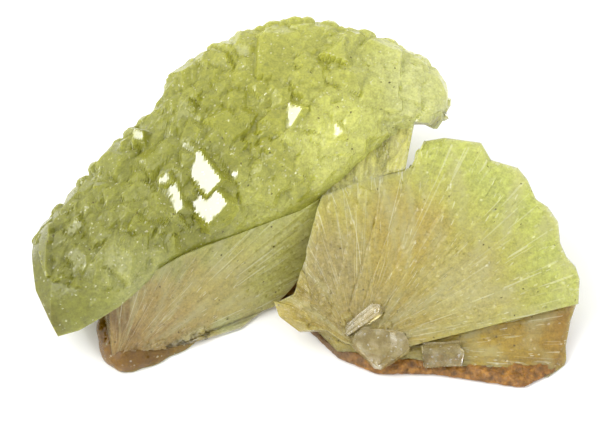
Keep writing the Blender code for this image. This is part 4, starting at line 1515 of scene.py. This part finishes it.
def build_fan(rng):
    """The fan: its back, inside, plate, ledge and lobe, less the seats of the clear crystals."""
    loose = raised_blades(rng) + fan_rubble(rng, FAN_RUBBLE)
    plate = fan_sheet(rng, PLATE_RIM, PLATE_BASE, 0.0, PLATE_DEPTH, PLATE_BLADES, loose, PLATE_PLAIN)
    ledge = fan_sheet(rng, LEDGE_RIM, LEDGE_BASE, LEDGE_DROP, LEDGE_DEPTH, LEDGE_BLADES)
    loose = fan_rubble(rng, LOBE_RUBBLE)
    lobe = fan_sheet(rng, LOBE_RIM[::-1], LOBE_BASE[::-1], LOBE_DROP, LOBE_DEPTH, LOBE_BLADES, loose)
    # The seats are painted pale: painted light seen through the clear crystals.
    upper, lower, seat = adamite("plate_adamite"), adamite("ledge_adamite"), adamite("lit_seat_adamite")
    parts = [
        painted(grown_together("fan_back", fan_back(rng)), upper),
        part_of("fan_core", fan_core(), lower),
        part_of("plate", plate, upper),
        part_of("ledge", ledge, lower),
        part_of("lobe", lobe, upper),
    ]
    cuts = [painted(cut, upper) for cut in (crack_side(-1, CRACK_GAP), ground_block())]
    cuts += [part_of("seat", clear_seat(kind), seat) for kind in CLEAR_CRYSTALS.values()]
    fan = largest_body(joined("fan", parts, cuts))
    add_spray("fine_fan", fan, FAN_SHARP_ANGLE, "fan_crystals")


def build_specimen():
    """All the pieces."""
    rng = random.Random(SEED)
    noise.seed_set(SEED)
    build_ridge(rng)
    build_fan(rng)
    add_piece("fine_crust", painted(crust_mesh(), limonite()), "limonite_crust")
    clear = clear_adamite()
    for name, kind in CLEAR_CRYSTALS.items():
        add_piece("fine_" + name, part_of(name, glassy_crystal(rng, kind), clear), name)


def add_floor():
    """A plain pale floor."""
    mesh = bpy.data.meshes.new("floor")
    corners = [(x * FLOOR_SIZE / 2, y * FLOOR_SIZE / 2, 0) for x, y in ((-1, -1), (1, -1), (1, 1), (-1, 1))]
    mesh.from_pydata(corners, [], [(0, 1, 2, 3)])
    material, _, shader = new_material("white_floor")
    set_inputs(shader, {"Base Color": (0.95, 0.95, 0.94, 1.0), "Roughness": 0.8, "Specular IOR Level": 0.1})
    new_object("floor", painted(mesh, material))


def add_light():
    """An even white surround and the lights."""
    world = bpy.data.worlds.new("studio")
    world.use_nodes = True
    background = world.node_tree.nodes["Background"]
    set_inputs(background, {"Color": (1.0, 1.0, 1.0, 1.0), "Strength": WORLD_STRENGTH})
    bpy.context.scene.world = world
    direction = KEY_DIRECTION.normalized()
    for name, (size, energy) in LIGHTS.items():
        light = bpy.data.lights.new(name, "AREA")
        light.shape = "DISK"
        light.size = size
        light.energy = energy
        lamp = new_object(name, light)
        lamp.location = direction * LIGHT_DISTANCE
        lamp.rotation_euler = direction.to_track_quat("Z", "Y").to_euler()


def add_camera():
    """The camera, at the photograph's viewing angle."""
    camera = bpy.data.cameras.new("camera")
    camera.lens = CAMERA_LENS
    camera.sensor_width = 36.0
    camera.clip_start = 0.01
    camera.clip_end = 10.0
    obj = new_object("camera", camera)
    obj.location = CAMERA_TARGET + CAMERA_BACK * CAMERA_DISTANCE
    obj.rotation_euler = CAMERA_BACK.to_track_quat("Z", "Y").to_euler()
    bpy.context.scene.camera = obj


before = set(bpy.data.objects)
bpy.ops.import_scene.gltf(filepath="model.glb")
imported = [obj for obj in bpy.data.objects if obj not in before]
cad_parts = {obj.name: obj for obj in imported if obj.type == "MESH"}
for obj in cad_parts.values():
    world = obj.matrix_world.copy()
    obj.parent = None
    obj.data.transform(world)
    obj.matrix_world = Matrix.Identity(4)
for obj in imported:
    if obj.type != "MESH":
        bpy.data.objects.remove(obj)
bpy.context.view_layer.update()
build_specimen()
add_floor()
add_light()
add_camera()
bpy.context.scene.view_settings.view_transform = "Standard"
